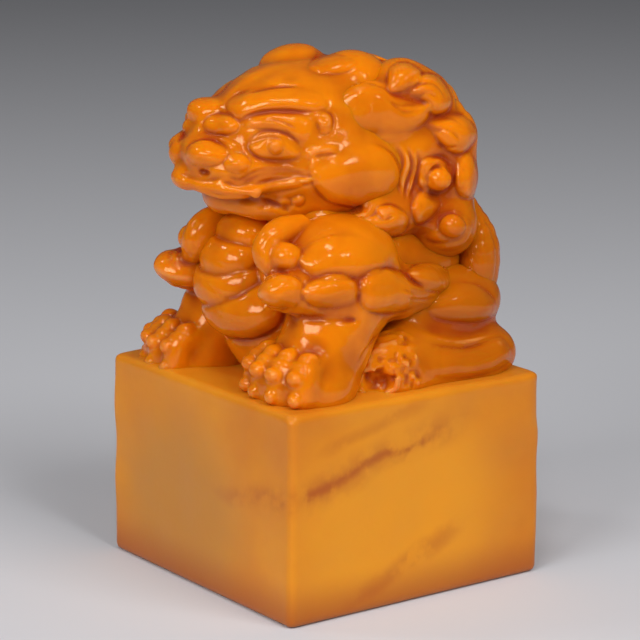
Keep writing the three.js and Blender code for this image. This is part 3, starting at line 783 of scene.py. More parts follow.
# The strands combed on them: path, reach, pitch and the way across
strands = [
    ([(6.5, 17.5, 1.5), (10.8, 18.0, 8.5), (12.2, 18.4, 15), (10.0, 17.4, 20.4)], 4.2, 1.5, (0.8, -0.6, 0)),
    ([(3.6, 18.6, 1.2), (3.8, 19.0, 9), (1.6, 17.4, 17.4)], 3.2, 1.4, LEFT),
    ([(0.0, 18.6, 1.2), (-2.2, 18.8, 7), (-4.4, 17.4, 13)], 3.2, 1.4, LEFT),
]
tail = Carving(16, (9, -0.4), (20, 23.5), 0.26)
for path, radii, flat, blend, crease in flames:
    tail.add(roll_of(path, radii, flat=flat, squeeze=1.2), blend=blend, crease=crease)
for path, reach, pitch, across in strands:
    tail.comb(path, reach, pitch, depth=0.3, fan=0.7, across=across)
carved_tail = carved_piece("carved_tail", tail, amber_stone)
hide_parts("tail")


# The front legs
# Short thick legs with four-toed paws. Round each shoulder lie flames of hair over a band, and in front
# of it the hair winds into a curl.

# Each toe: how far it lies to the left of the paw's middle, and how far ahead of it
TOES = ((-4.9, 4.2), (-1.7, 5.4), (1.6, 5.5), (4.8, 4.5))

# Each knuckle from the back, and then the claw: its share of the toe's place to the side, how far it lies
# behind the toe's end, its height and its size
KNUCKLES = (
    (0.86, 1.3, 5.5, (2.8, 2.4, 2.0)),
    (0.98, -1.2, 3.6, (2.6, 2.0, 2.0)),
    (1.04, -1.6, 0.9, (2.0, 1.6, 1.8)),
)

# Outlines on the shoulder as pixels, each with its height, its edge and the pixel towards which it fades
SHOULDER_PADS = {
    "ball": ([(298, 264), (310, 244), (338, 234), (368, 238), (386, 256), (380, 272), (352, 279), (318, 279)],
             0.4, 2.2, (372, 224)),
    "front flame": ([(254, 294), (266, 280), (284, 274), (300, 280), (305, 293), (296, 306), (278, 308),
                     (262, 303)], 0.9, 1.8, (310, 312)),
    "second flame": ([(301, 292), (313, 279), (334, 273), (353, 278), (361, 291), (353, 304), (330, 309),
                      (310, 305)], 0.9, 2.0, (344, 322)),
    "third flame": ([(358, 290), (363, 276), (379, 268), (400, 271), (416, 283), (440, 289), (428, 302),
                     (404, 311), (380, 314), (363, 308)], 1.0, 2.2, (436, 318)),
    "hind flame": ([(407, 273), (422, 262), (440, 264), (452, 279), (449, 292), (436, 293), (420, 286)],
                   0.9, 1.8, (436, 312)),
}

# Strokes as pixels, each with its depth and width: strands of the flames, the curl's rims, the edge of
# the band and the fold behind the leg
LEG_STROKES = [
    ([(398, 287), (416, 293), (446, 290)], 0.25, 0.28),
    ([(400, 296), (418, 300), (438, 297)], 0.22, 0.26),
    ([(259, 248), (266, 237), (280, 229)], 0.16, 0.26),
    ([(264, 252), (271, 241), (284, 234)], 0.16, 0.26),
    ([(284, 315), (312, 319), (345, 320), (400, 319)], 0.45, 0.4),
    ([(380, 333), (367, 348), (359, 366)], 0.2, 0.35),
]


def paw(leg, middle, toe_out):
    """A paw on a front leg: a pad, and four toes bent at two knuckles over a short claw, all swung
    outwards by toe_out degrees about the paw's middle."""

    def swung(points):
        """Points of the paw, turned about its middle and moved there."""
        return turned(np.asarray(points, float), toe_out) + middle

    leg.add(lump(swung((0.2, -1.0, 1.2)), (13.4, 12.2, 10.4), turn=toe_out), blend=1.8, crease=0)
    for aside, ahead in TOES:
        toe = [(aside * 0.72, 3.2 - ahead, 4.4), (aside * 0.95, 0.6 - ahead, 3.9), (aside, -0.2 - ahead, 1.2)]
        leg.add(roll_of(swung(toe), [1.5, 1.8, 1.7]), blend=1.0, crease=0.06)
    for aside, ahead in TOES:
        for share, behind, height, size in KNUCKLES:
            place = swung((aside * share, behind - ahead, height))
            leg.add(lump(place, size, turn=toe_out), blend=0.3, crease=0.1)


def front_leg(toe_out, paw_wide):
    """A shoulder with its hair, a leg and a paw so far out from the middle, on the lion's left, joined
    from lumps and rolls and then cut."""
    leg = Carving(21.0, (-20.8, -0.5), (13.4, 22.5), 0.25)
    leg.add(lump((9.6, -6.2, 15.6), (13.0, 16, 11)))
    leg.add(roll_of([(10.6, -5.8, 15), (11.3, -6.8, 10), (11.6, -9.2, 5), (11.6, -11.0, 0)],
                    [6.3, 5.9, 5.7, 5.0]), blend=1.5, crease=0.1)
    paw(leg, np.array([paw_wide, -11.4, 0]), toe_out)

    # The mass of the hair, and the flames, ball and curl cut on it in low relief
    flames = sighted((280, 291, 11.4), (322, 293, 12.6), (372, 294, 13.0), (414, 288, 12.0), (434, 282, 11.2))
    leg.add(roll_of(flames, [2.5, 3.6, 3.9, 3.2, 2.5]), blend=1.4, crease=0.2)
    leg.add(lump(seen((342, 258), x=9.6), (11.2, 13.6, 9.4)), blend=2.2, crease=0)
    hook = sighted((299, 226, 7.8), (280, 234, 8.0), (268, 251, 8.0), (277, 269, 9.4))
    leg.add(roll_of(hook, [1.5, 2.0, 2.1, 1.7]), blend=0.7, crease=0.15)
    leg.add(lump(seen((286, 257), x=10.6), (3.8, 3.8, 3.8)), blend=0.6, crease=0.15)
    for outline, height, edge, lost in SHOULDER_PADS.values():
        leg.pad(outline, height, edge, lost=lost)
    for pixels, depth, width in LEG_STROKES:
        leg.stroke(leg.at(*pixels), depth, width)
    leg.roughen((0, -20, 0), (20, 8, 22), size=2.2, depth=0.22, seed=5)
    return leg


def front_leg_piece(side, stone):
    """The front leg's object, in place of its solids."""
    piece = carved_piece(f"carved_{side}_front_leg", stone, amber_stone)
    parts = ("shoulder_flames", "shoulder_curl", "forepaw", "foreleg")
    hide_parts(*(f"{side}_{part}" for part in parts))


front_leg_piece("left", front_leg(toe_out=2, paw_wide=11.6))

# The far paw is turned out, and stands a little further in and lower
front_leg_piece("right", other_side(front_leg(toe_out=22, paw_wide=12.8), drawn_in=0.7, sunk=1.0))


# The head
# A broad domed skull with a blunt face: brows that wind into curls, long eyes, a wide nose over a
# rolled lip, and full cheeks. It is turned to the lion's right.

HEAD_TURN = 16


def met(u, v, side):
    """The point at a pixel of the photograph that lies so far to the left of the head's middle."""
    return seen((u, v), x=side, head_turn=HEAD_TURN)


head = Carving(15.4, (-22, 15.5), (8, 42), 0.22, HEAD_TURN)
head.add(lump((0, -3.9, 31.3), (21, 24.4, 16.8), lean=5))
head.add(lump((0, -3.0, 25.0), (20.5, 23, 13)), blend=2.5, crease=0)
head.add(lump((0, -11.4, 27.2), (17, 16, 9.5)), blend=1.5, crease=0)
head.add(lump((0, -8.0, 22.8), (13.5, 13.6, 5.6)), blend=1.0, crease=0)
head.add(lump((7.5, -0.6, 27.0), (9.8, 16.4, 10.6)), both=True, blend=2.2, crease=0)

# Crown: a swell to each side behind the forehead, the far one lower, and a lens-shaped lump before them
NEAR_SWELL = 2.4
for side, drop in ((NEAR_SWELL, 0), (-3.2, 1.6)):
    swell = met(354, 80, NEAR_SWELL) * [side / NEAR_SWELL, 1, 1] - [0, 0, drop]
    head.add(lump(swell, (9.4, 9.2, 7.6), lean=-12), blend=1.6, crease=0)
head.add(lump(met(291, 64, -3.2), (8.0, 8.4, 5.0), lean=12), blend=0.7, crease=0.15)

# Muzzle, nose, lips and jaw
head.add(lump(met(186, 152, -2.6), (5.0, 4.4, 4.4)), blend=0.9, crease=0.1)
head.add(lump(met(208, 154, 2.2), (5.4, 5.8, 4.4)), blend=1.2, crease=0.05)
bridge = [(0, -17.0, 29.0), (0, -16.0, 31.2), (0, -15.2, 33)]
head.add(roll_of(bridge, [2.2, 1.7, 1.2]), blend=1.2, crease=0)
lip = [(-0.6, -19.3, 25.4), (3.2, -18.0, 24.9), (6.4, -15.4, 24.3), (8.2, -12.6, 24.4)]
head.add(roll_of(lip, [1.25, 1.1, 0.95, 0.7]), both=True, blend=1.3, crease=0.08)
jaw = [(-0.6, -14.7, 22.7), (2.8, -13.9, 22.4), (5.4, -11.2, 21.8), (7.4, -7.0, 21.4)]
head.add(roll_of(jaw, [1.4, 1.3, 1.1, 0.8]), both=True, blend=1.8, crease=0)

# The lumps over the far eye
head.add(lump(met(205, 111, -1.8), (5.0, 4.4, 3.4)), blend=1.4, crease=0.05)
head.add(lump(met(199, 127, -3.0), (5.0, 4.2, 3.4)), blend=1.2, crease=0.05)

# Low relief inside outlines of the photograph, each with its height, the width of its rounded edge and
# the pixel towards which it fades
face_pads = {
    "forehead": ([(226, 104), (240, 93), (268, 87), (300, 87), (322, 94), (328, 106), (310, 111), (278, 110),
                  (256, 114), (240, 121), (231, 114)], 0.5, 2.0, (276, 78)),
    "brow": ([(244, 126), (258, 116), (284, 113), (308, 117), (314, 128), (303, 142), (288, 134), (266, 130)],
             0.3, 1.2, (330, 136)),
    "eyeball": ([(248, 147), (257, 140), (272, 136), (288, 140), (300, 154), (290, 160), (268, 160),
                 (255, 156)], 0.3, 1.4, None),
    "iris": ([(267, 147), (270, 141), (277, 139), (283, 144), (282, 152), (274, 155)], 0.35, 0.9, None),
    "brow's inner end": ([(203, 124), (211, 115), (226, 114), (239, 121), (237, 131), (224, 135), (209, 133)],
                         0.65, 1.5, (256, 118)),
    "brow's curl": ([(316, 121), (324, 112), (333, 118), (332, 130), (322, 134)], 0.4, 0.9, None),
    "nose": ([(186, 153), (192, 142), (207, 139), (224, 145), (228, 156), (218, 165), (200, 167), (190, 162)],
             0.85, 2.3, (246, 142)),
    "whisker pad": ([(223, 163), (230, 154), (242, 153), (251, 163), (244, 173), (230, 172)],
                    0.6, 1.8, (228, 148)),
    "cheek": ([(308, 164), (317, 150), (338, 141), (368, 141), (390, 152), (400, 170), (398, 188), (386, 200),
               (360, 207), (330, 202), (314, 186)], 0.6, 1.1, (345, 145)),
    "crown's lens": ([(308, 66), (318, 57), (334, 54), (350, 58), (357, 64), (346, 72), (326, 75), (314, 72)],
                     0.4, 1.6, (336, 40)),
    "last tooth": ([(291, 200), (299, 195), (305, 199), (301, 206), (294, 206)], 0.3, 0.7, None),
    "mouth's ridge": ([(244, 190), (262, 182), (290, 178), (318, 177), (300, 187), (276, 192), (256, 195)],
                      0.3, 0.9, (240, 198)),
}
for outline, height, edge, lost in face_pads.values():
    head.pad(outline, height, edge, lost=lost, both=True)

# The brow's end wound up into a curl
head.wind(head.at((324, 122))[0], (1, -0.2, 0.1), 1.7, turns=1.4, depth=0.25, both=True)

# Cuts of the graver as pixels, each with its depth and width
face_strokes = [
    # Lids and brow
    ([(245, 146), (254, 137), (266, 131), (281, 132), (294, 140), (305, 155)], 0.3, 0.26),
    ([(248, 145), (256, 138), (267, 134), (280, 135), (292, 142), (302, 154)], -0.3, 0.25),
    ([(246, 147), (258, 158), (272, 161), (288, 162), (302, 159)], 0.3, 0.25),
    ([(262, 120), (280, 121), (298, 130)], 0.34, 0.26),
    ([(262, 126), (278, 127), (294, 134)], 0.3, 0.24),
    ([(266, 132), (278, 132), (290, 138)], 0.22, 0.22),
    # Folds over the lip, and the lip's edge
    ([(244, 178), (258, 171), (280, 169), (308, 173)], 0.5, 0.3),
    ([(244, 183), (260, 176), (284, 173), (314, 178)], 0.4, 0.26),
    ([(258, 165), (278, 164), (300, 167)], 0.35, 0.26),
    ([(250, 171), (262, 167), (284, 167), (304, 170)], -0.2, 0.26),
    ([(222, 181), (238, 186), (252, 180)], 0.3, 0.26),
    ([(228, 176), (238, 180), (250, 176)], 0.25, 0.3),
    ([(252, 188), (270, 181), (292, 181), (312, 186)], 0.22, 0.22),
    ([(256, 208), (272, 205), (290, 212)], 0.25, 0.3),
    ([(204, 191), (228, 197), (248, 198), (268, 202), (288, 206)], 0.5, 0.35),
    ([(176, 172), (192, 178), (208, 180), (226, 176)], 0.3, 0.35),
    # Round the cheek, the forehead and the nose
    ([(306, 154), (318, 151), (336, 149)], -0.45, 0.4),
    ([(308, 159), (320, 155), (338, 153)], 0.3, 0.3),
    ([(236, 121), (252, 114), (280, 111), (314, 113)], 0.3, 0.3),
    ([(246, 94), (270, 88), (302, 87)], 0.25, 0.26),
    ([(311, 168), (314, 160), (309, 154)], -0.35, 0.4),
    ([(218, 138), (226, 142), (234, 147)], -0.35, 0.3),
    ([(187, 147), (196, 141), (210, 139), (222, 144)], 0.3, 0.28),
]
for pixels, depth, width in face_strokes:
    head.stroke(head.at(*pixels), depth, width, both=True)

# The nostril, the graver's waviness, and the teeth left rough
nostril = head.at((204, 173))[0]
head.cut(lump(nostril, (2.0, 1.4, 0.8)), both=True, blend=0.5)
head.roughen((-15, -21, 16), (15, 8, 41), size=2.0, depth=0.2, seed=9)
teeth = head.at((276, 203))[0]
head.roughen(teeth - [3, 3, 1.2], teeth + [3, 3, 1.2], size=0.7, depth=0.16, both=True, seed=6)
carved_head = carved_piece("carved_head", head, amber_stone)
paired = ("cheek", "eye", "brow", "crown_lobe", "crown_swell")
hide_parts("skull", "muzzle", "nose", "upper_lip", "lower_jaw",
            *(f"{side}_{part}" for side in ("left", "right") for part in paired))


# The mane
# Ears laid back, and behind them the mane in fat locks that hook over one another, with round curls
# and combed strands behind the cheeks and comma-shaped curls round the neck.

mane = Carving(16.4, (-13, 14.5), (20.2, 42), 0.24, HEAD_TURN)
mane.add(lump((0, 6.2, 28.0), (21.4, 24.4, 21.5)))
mane.add(lump((0, 2.6, 21.2), (24.6, 25, 11)), blend=2.0, crease=0)
ear = [met(358, 112, 6.9), met(376, 110, 7.9), met(400, 114, 8.2), met(423, 113, 7.7)]
mane.add(roll_of(ear, [3.5, 3.8, 3.2, 1.5], flat=LEFT, squeeze=1.5), both=True, blend=1.4, crease=0)

# The mass of the locks down the back of the head, each with its size and lean. On the far side they hang
# lower, by a share of their height over the neck.
FAR_DROP = 0.045
NECK_HEIGHT = 8
near_locks = [
    (met(402, 87, 5.6), (9.0, 8.0, 7.4), -18),
    (met(420, 101, 5.8), (9.0, 8.6, 8.2), -30),
    (met(441, 135, 5.6), (9.6, 9.6, 9.0), -30),
    (met(446, 176, 5.8), (9.4, 8.0, 11.0), 0),
    (met(442, 223, 6.4), (9.6, 9.2, 9.0), 0),
]
for centre, size, lean in near_locks:
    mane.add(lump(centre, size, lean=lean), blend=1.4, crease=0)
    far = centre * [-1, 1, 1] - [0, 0, FAR_DROP * (centre[2] - NECK_HEIGHT)]
    mane.add(lump(far, size, lean=lean), blend=1.4, crease=0)
mane.add(lump(met(451, 111, 6.6), (3.4, 3.2, 3.2)), both=True, blend=0.5, crease=0.2)

# Locks down the middle of the nape, each with how far back and how high it lies, and its height
for back, height, tall in ((11.0, 35.0, 7.0), (14.8, 32.6, 7.6), (16.0, 27.4, 7.6), (15.0, 21.6, 7.4)):
    mane.add(lump((0, back, height), (7.6, tall - 1.4, tall)), blend=0.9, crease=0.15)

# Low relief inside outlines of the photograph, as on the face
mane_pads = {
    "ear": ([(330, 104), (340, 92), (362, 83), (382, 88), (396, 96), (414, 101), (430, 104), (428, 120),
             (412, 131), (386, 135), (358, 136), (338, 138), (331, 120)], 0.7, 1.5, (376, 158)),
    "lock over the ear": ([(387, 84), (390, 68), (405, 62), (422, 72), (416, 86), (404, 96), (391, 95)],
                          0.9, 1.8, (402, 108)),
    "upper lock": ([(407, 92), (418, 75), (438, 76), (452, 98), (446, 114), (430, 114), (422, 102)],
                   0.9, 1.8, (408, 112)),
    "rear lock": ([(426, 122), (445, 114), (464, 116), (477, 134), (463, 154), (447, 151), (434, 135)],
                  1.0, 2.0, (424, 110)),
    "low lock": ([(455, 158), (470, 153), (478, 175), (472, 198), (456, 192)], 0.8, 1.6, (448, 150)),
    "side curl": ([(416, 174), (423, 159), (440, 157), (452, 172), (448, 188), (432, 194), (419, 188)],
                  0.7, 1.4, None),
    "curl below it": ([(411, 206), (420, 190), (432, 187), (441, 203), (432, 218), (417, 224)],
                      1.0, 1.6, (440, 186)),
    "jaw curl": ([(348, 212), (362, 219), (374, 214), (378, 207), (392, 205), (408, 216), (405, 231),
                  (388, 238), (368, 237), (353, 227)], 1.1, 1.7, None),
    "nape curl": ([(421, 238), (436, 228), (440, 214), (456, 210), (472, 224), (468, 243), (446, 251)],
                  0.4, 1.6, (416, 222)),
}
for outline, height, edge, lost in mane_pads.values():
    mane.pad(outline, height, edge, lost=lost, both=True)

# Knobs in the middle of the nape curl and of the side curl, and a rough hollow below the cheek
for knob in ((453, 226), (439, 179)):
    mane.add(lump(mane.at(knob)[0], (3.2, 3.2, 3.0)), both=True, blend=0.35, crease=0.25)
hollow_below_cheek = mane.above((344, 206), 0.4)
mane.cut(lump(hollow_below_cheek, (5.0, 5.4, 2.8), lean=-14), both=True, blend=1.0)
mane.roughen(hollow_below_cheek - 4, hollow_below_cheek + 4, size=0.7, depth=0.25, both=True, seed=4)

# Cuts of the graver as pixels, each with its depth and width
mane_strokes = [
    # The ear's edge, and the combed strands behind the cheek
    ([(384, 97), (396, 104), (410, 105), (426, 103)], 0.3, 0.3),
    ([(390, 103), (404, 112), (420, 110)], 0.22, 0.26),
    ([(330, 147), (350, 140), (380, 137), (412, 131)], -0.3, 0.5),
    ([(396, 147), (403, 160), (398, 178), (402, 196)], 0.5, 0.3),
    ([(402, 147), (408, 162), (402, 180), (403, 198)], -0.35, 0.3),
    ([(408, 150), (413, 166), (407, 184), (405, 200)], 0.5, 0.3),
    ([(413, 150), (416, 166), (410, 184), (407, 200)], -0.3, 0.28),
    ([(418, 152), (419, 168), (414, 186), (409, 200)], 0.5, 0.3),
    # Strands on the locks and the ear
    ([(440, 153), (452, 164), (454, 178), (444, 192)], 0.35, 0.3),
    ([(389, 93), (404, 92), (418, 84), (430, 82)], 0.3, 0.3),
    ([(424, 125), (440, 132), (452, 141)], 0.2, 0.3),
    ([(376, 213), (384, 220), (396, 214)], 0.35, 0.28),
    ([(420, 205), (424, 200), (421, 212)], 0.25, 0.25),
    ([(336, 100), (341, 112), (348, 118)], 0.22, 0.28),
    ([(369, 102), (372, 108), (370, 115)], -0.2, 0.3),
    # Turns of the side curl and the nape curl
    ([(427, 165), (424, 176), (434, 186)], 0.3, 0.3),
    ([(429, 160), (440, 157), (448, 164), (449, 175)], 0.3, 0.28),
    ([(430, 170), (437, 166), (444, 170)], 0.3, 0.26),
    ([(411, 231), (428, 241), (446, 244), (462, 239), (469, 228)], 0.45, 0.4),
    ([(436, 222), (443, 215), (454, 214), (464, 221)], 0.3, 0.3),
    # Strands on the low, rear and upper locks
    ([(458, 164), (466, 172), (465, 186), (457, 193)], 0.35, 0.3),
    ([(461, 168), (461, 178), (459, 184)], 0.3, 0.28),
    ([(429, 121), (440, 117), (453, 118), (465, 126)], 0.3, 0.28),
    ([(433, 131), (444, 129), (455, 134), (462, 144)], 0.22, 0.28),
    ([(437, 143), (447, 147), (459, 146)], 0.25, 0.28),
    ([(411, 89), (424, 83), (438, 86), (447, 99)], 0.28, 0.28),
    ([(417, 98), (428, 93), (440, 101)], 0.25, 0.26),
    ([(414, 204), (424, 197), (434, 200)], 0.25, 0.26),
]
for pixels, depth, width in mane_strokes:
    mane.stroke(mane.at(*pixels), depth, width, both=True)

# Strands combed down the nape
nape = [(0, 13.0, 38.5), (0, 18.2, 34.0), (0, 20.0, 28.0), (0, 19.2, 21.0), (0, 17.6, 16.5)]
mane.comb(nape, 7.5, 1.7, 0.35, fan=0.8, across=LEFT)
mane.roughen((-16, -12, 15), (16, 20, 42), size=2.0, depth=0.2, seed=10)
carved_mane = carved_piece("carved_mane", mane, amber_stone)
paired = ("ear", "upper_lock", "rear_lock", "low_lock", "side_curl", "cheek_hair", "jaw_curl", "neck_curl",
          "nape_curl")
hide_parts("mane", "nape_lock",
            *(f"{side}_{part}" for side in ("left", "right") for part in paired))


# The block
# Sawn square and rubbed flat, of the same stone and left duller. Handling has worn its top edges soft,
# and red-brown veins cross it as thin sheets that show as lines on its sides. Underneath, the printing
# face has a raised rim round a fret of four keys.

RUBBED = (0.66, 0.205, 0.010)
GOLD_AND_PAINTED_LIGHT = (0.84, 0.325, 0.012)
FRONT_SHADE_DULL = (0.56, 0.230, 0.032)
FOOT_BROWN = (0.40, 0.085, 0.012)
VEIN_RED = (0.40, 0.060, 0.008)
FOOT_BAND_HEIGHT = 6.5
# Middles of the painted shade that dulls the front face and of the painted light on the right face
PAINTED_SHADE_MIDDLE = (-0.004, -0.020, 0.009)
PAINTED_LIGHT_MIDDLE = (0.020, -0.002, 0.011)
HALF_SIDE = block_high[0]
BLOCK_HEIGHT = block_high[2] - block_low[2]
BLOCK_ROOM = 0.7
WORN_EDGE = 0.9
WORN_CORNER = 1.1
RIM = {"width": 2.2, "depth": 0.9}
FRET = {"stroke": 1.7, "pitch": 3.5, "arm": 14.4, "offset": 1.6}


def box(low, high, rounding=0.0):
    """A box with rounded edges: the distance to a smaller box, less the rounding."""
    low, high = np.asarray(low, float), np.asarray(high, float)
    middle, half = (low + high) / 2, (high - low) / 2 - rounding

    def distance(x, y, z):
        """Outside, the root of the summed squares of how far a point is past each side; inside, how near
        it is to the nearest side; less the rounding."""
        past = [np.abs(line - m) - h for line, m, h in zip((x, y, z), middle, half)]
        outside = np.sqrt(sum(np.maximum(p, 0) ** 2 for p in past))
        inside = np.minimum(np.maximum(np.maximum(past[0], past[1]), past[2]), 0)
        return outside + inside - rounding

    return low, high, distance


def vein_plane(first, second, dip):
    """The plane of a vein that shows between two pixels on the block's left face, and goes into the stone
    with a dip down towards its middle: its upright direction and how far up it lies."""
    a, b = (seen(pixel, x=HALF_SIDE) + [0, 0, BLOCK_TOP] for pixel in (first, second))
    inward = np.array([-1.0, 0, -np.tan(np.radians(dip))])
    normal = np.cross(b - a, inward)
    normal /= np.linalg.norm(normal)
    return normal, float(normal @ a)


# Each vein: its plane, the middle of what shows of it, its width, its reach from there and its strength.
# The main vein is broad and faint round a narrow core, and comes out on the front face too.
MAIN_PLANE = vein_plane((299, 500), (452, 425), 8)
VEINS = (
    (MAIN_PLANE, seen((372, 466), x=HALF_SIDE), 3.4, 20, 0.42),
    (MAIN_PLANE, seen((366, 470), x=HALF_SIDE), 1.1, 15, 0.6),
    (MAIN_PLANE, seen((258, 500), y=-HALF_SIDE), 1.8, 12, 0.3),
    (vein_plane((332, 447), (426, 403), 14), seen((374, 426), x=HALF_SIDE), 1.4, 11, 0.3),
    (vein_plane((355, 598), (446, 534), -6), seen((404, 564), x=HALF_SIDE), 1.8, 12, 0.4),
)
VEIN_SWAY = 3.6


def ranged(tree, value, low, high, first, last):
    """The level from first to last as the value goes from low to high, with a soft start and end."""
    inputs = [("Value", value), ("From Min", low), ("From Max", high), ("To Min", first), ("To Max", last)]
    return put(tree, "ShaderNodeMapRange", inputs, interpolation_type="SMOOTHSTEP").outputs[0]


def reckoned(tree, operation, *terms):
    """What a sum of the terms comes to, each a socket or a number."""
    return put(tree, "ShaderNodeMath", list(enumerate(terms)), operation=operation).outputs[0]


def block_stone():
    """Rubbed amber, clouded, with painted light on its right face and painted shade that makes its front
    duller, and browner along its foot. A vein is a band round its plane, bent and broken up by noises of the
    Object coordinates, that fades away from its middle."""
    material, tree = node_tree("block_stone")
    place = put(tree, "ShaderNodeTexCoord").outputs["Object"]
    upright = put(tree, "ShaderNodeSeparateXYZ", [("Vector", place)]).outputs["Z"]
    colour = ramp(tree, noise(tree, place, 70.0, 4.0), [(0.36, RUBBED), (0.90, GOLD_AND_PAINTED_LIGHT)])
    # Painted light brightens the middle of the right face, and painted shade dulls the middle of the front
    # face
    for middle, reach, shade in ((PAINTED_LIGHT_MIDDLE, 0.021, GOLD_AND_PAINTED_LIGHT), (PAINTED_SHADE_MIDDLE, 0.018, FRONT_SHADE_DULL)):
        share = ranged(tree, away_from(tree, place, middle), 0.4 * reach, reach, 0.85, 0.0)
        colour = mixed(tree, share, colour, shade)
    # Darker and browner towards the bottom
    colour = mixed(tree, ranged(tree, upright, 0.0, FOOT_BAND_HEIGHT * MM, 0.8, 0.0), colour, FOOT_BROWN)
    sway = noise(tree, place, 130.0, 4.0)
    broken = ranged(tree, noise(tree, place, 330.0, 3.0), 0.36, 0.58, 0.25, 1.0)
    for (normal, rise), middle, width, reach, strength in VEINS:
        ahead = [(0, place), (1, tuple(normal / MM))]
        along = put(tree, "ShaderNodeVectorMath", ahead, operation="DOT_PRODUCT").outputs["Value"]
        bent = reckoned(tree, "MULTIPLY_ADD", sway, VEIN_SWAY, along)
        off = reckoned(tree, "ABSOLUTE", reckoned(tree, "SUBTRACT", bent, rise + VEIN_SWAY / 2))
        band = ranged(tree, off, 0.0, width, strength, 0.0)
        far = away_from(tree, place, (middle + [0, 0, BLOCK_TOP]) * MM)
        kept = ranged(tree, far, 0.45 * reach * MM, reach * MM, 1.0, 0.0)
        share = reckoned(tree, "MULTIPLY", reckoned(tree, "MULTIPLY", band, kept), broken)
        colour = mixed(tree, share, colour, VEIN_RED)
    shader = put(tree, "ShaderNodeBsdfPrincipled", [
        ("Base Color", colour),
        ("Roughness", 0.36),
        ("Normal", grained(tree, place, 1400.0, 2.0, 0.08)),
        ("IOR", 1.5),
        ("Specular Tint", (1.0, 0.76, 0.54, 1.0)),
        ("Subsurface Weight", 0.25),
        ("Subsurface Radius", (1.0, 0.35, 0.08)),
        ("Subsurface Scale", 0.0018),
    ])
    shown(tree, shader)
    return material


near, far = -HALF_SIDE - BLOCK_ROOM, HALF_SIDE + BLOCK_ROOM
block = Carving(far, (near, -BLOCK_HEIGHT - BLOCK_ROOM), (far, BLOCK_ROOM), 0.34)
sawn = box((-HALF_SIDE, -HALF_SIDE, -BLOCK_HEIGHT), (HALF_SIDE, HALF_SIDE, 0), WORN_EDGE)
block.add(sawn, crease=0, blend=0.01)
block.roughen((-30, -30, -BLOCK_HEIGHT), (30, 30, BLOCK_HEIGHT), size=5.0, depth=0.2, seed=8)

# The top's left corner at the back is worn, and the one at the front is chipped
beside = HALF_SIDE + 0.3
block.stroke([(beside, beside, 1), (beside, beside, -8)], 1.0, WORN_CORNER)
block.cut(lump((HALF_SIDE, -HALF_SIDE, 0), (2.4, 1.8, 1.6)), blend=0.3)

# The printing face: a well inside the rim, and a key of five strokes that turn inwards, with its mirror,
# and both again in the other half
well = HALF_SIDE - RIM["width"]
block.cut(box((-well, -well, -BLOCK_HEIGHT - 2), (well, well, -BLOCK_HEIGHT + RIM["depth"])), blend=0.1)
corner = np.full(2, FRET["offset"])
for turns, pitches in enumerate((0, 0, 1, 2, 3)):
    angle = np.radians(90 * turns)
    ahead = corner + (FRET["arm"] - pitches * FRET["pitch"]) * np.array([np.cos(angle), np.sin(angle)])
    for mirror in (1, -1):
        ends = np.array([corner, ahead]) * [1, mirror]
        low = (*(ends.min(0) - FRET["stroke"] / 2), -BLOCK_HEIGHT)
        high = (*(ends.max(0) + FRET["stroke"] / 2), -BLOCK_HEIGHT + RIM["depth"] + 0.4)
        block.add(box(low, high), both=True, blend=0.1, crease=0)
    corner = ahead

carved_block = carved_piece("carved_block", block, block_stone())
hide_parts("seal_block")


# The floor and the light
# A pale floor under a pale sky. The key lamp stands before the seal on the left and lays the highlights on
# the carving. A broad lamp on the right fills the side that is seen and isn't mirrored in the polish. A
# weak one overhead and three small ones give the smaller glints.

FLOOR_REACH = 1.6
FLOOR_GREY = (0.66, 0.66, 0.69)
SKY_GREY = (0.75, 0.76, 0.80)
SKY_LEVEL = 0.08
LAMP_AWAY = 0.60
AIM_HEIGHT = 0.04


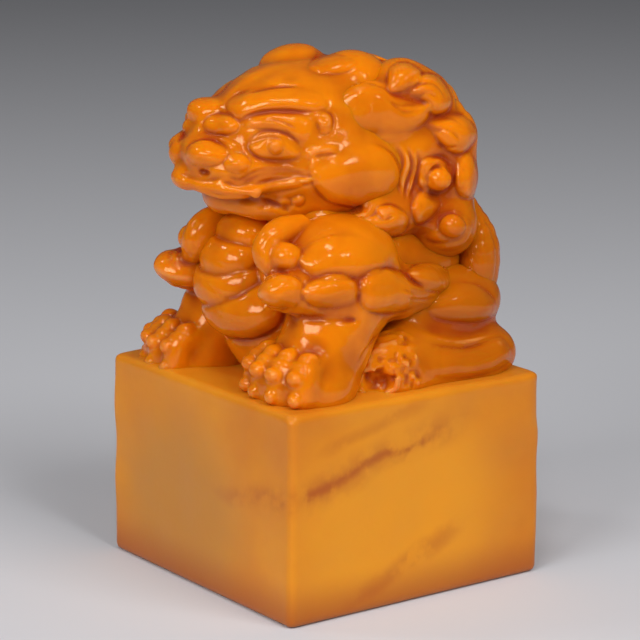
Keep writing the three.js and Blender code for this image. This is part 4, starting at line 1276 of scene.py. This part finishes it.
def matt(name, colour):
    """A matt material of one colour."""
    material, tree = node_tree(name)
    shown(tree, put(tree, "ShaderNodeBsdfPrincipled", [("Base Color", (*colour, 1.0)), ("Roughness", 0.8)]))
    return material


corners = [(-1, -1, 0), (1, -1, 0), (1, 1, 0), (-1, 1, 0)]
floor_mesh = bpy.data.meshes.new("floor")
floor_mesh.from_pydata((np.array(corners) * FLOOR_REACH).tolist(), [], [(0, 1, 2, 3)])
floor_mesh.materials.append(matt("floor_paper", FLOOR_GREY))
floor = bpy.data.objects.new("floor", floor_mesh)
bpy.context.collection.objects.link(floor)


def lamp(name, bearing, rise, wide, high, level, glints=True):
    """A flat lamp that faces the lion from a bearing round from its front to its left and a rise above
    the floor, in degrees. Level is what a white face turned to it would show: power = level (pi away)^2.
    One without glints is a fill that polished stone doesn't mirror."""
    data = bpy.data.lights.new(name, "AREA")
    data.shape = "RECTANGLE"
    data.size, data.size_y = wide, high
    data.energy = level * (np.pi * LAMP_AWAY) ** 2
    made = bpy.data.objects.new(name, data)
    bpy.context.collection.objects.link(made)
    a, b = np.radians([bearing, rise])
    back = np.array([np.sin(a) * np.cos(b), -np.cos(a) * np.cos(b), np.sin(b)])
    side = np.cross([0, 0, 1], back)
    side /= np.linalg.norm(side)
    axes = np.eye(4)
    axes[:3, 0] = side
    axes[:3, 1] = np.cross(back, side)
    axes[:3, 2] = back
    axes[:3, 3] = np.array([0, 0, AIM_HEIGHT]) + LAMP_AWAY * back
    made.matrix_world = Matrix(axes.tolist())
    made.visible_glossy = glints


lamp("key_lamp", 14, 27, 0.32, 0.18, 0.46)
lamp("right_lamp", 98, 40, 0.36, 0.36, 0.60, glints=False)
lamp("top_lamp", 36, 68, 0.14, 0.14, 0.16)
for number, (bearing, rise) in enumerate(((-42, 46), (44, 44), (84, 40))):
    lamp(f"small_lamp_{number + 1}", bearing, rise, 0.08, 0.08, 0.07)

world = bpy.data.worlds.new("studio")
world.use_nodes = True
sky = world.node_tree.nodes["Background"]
sky.inputs["Color"].default_value = (*SKY_GREY, 1.0)
sky.inputs["Strength"].default_value = SKY_LEVEL
bpy.context.scene.world = world
bpy.context.scene.view_settings.view_transform = "Standard"
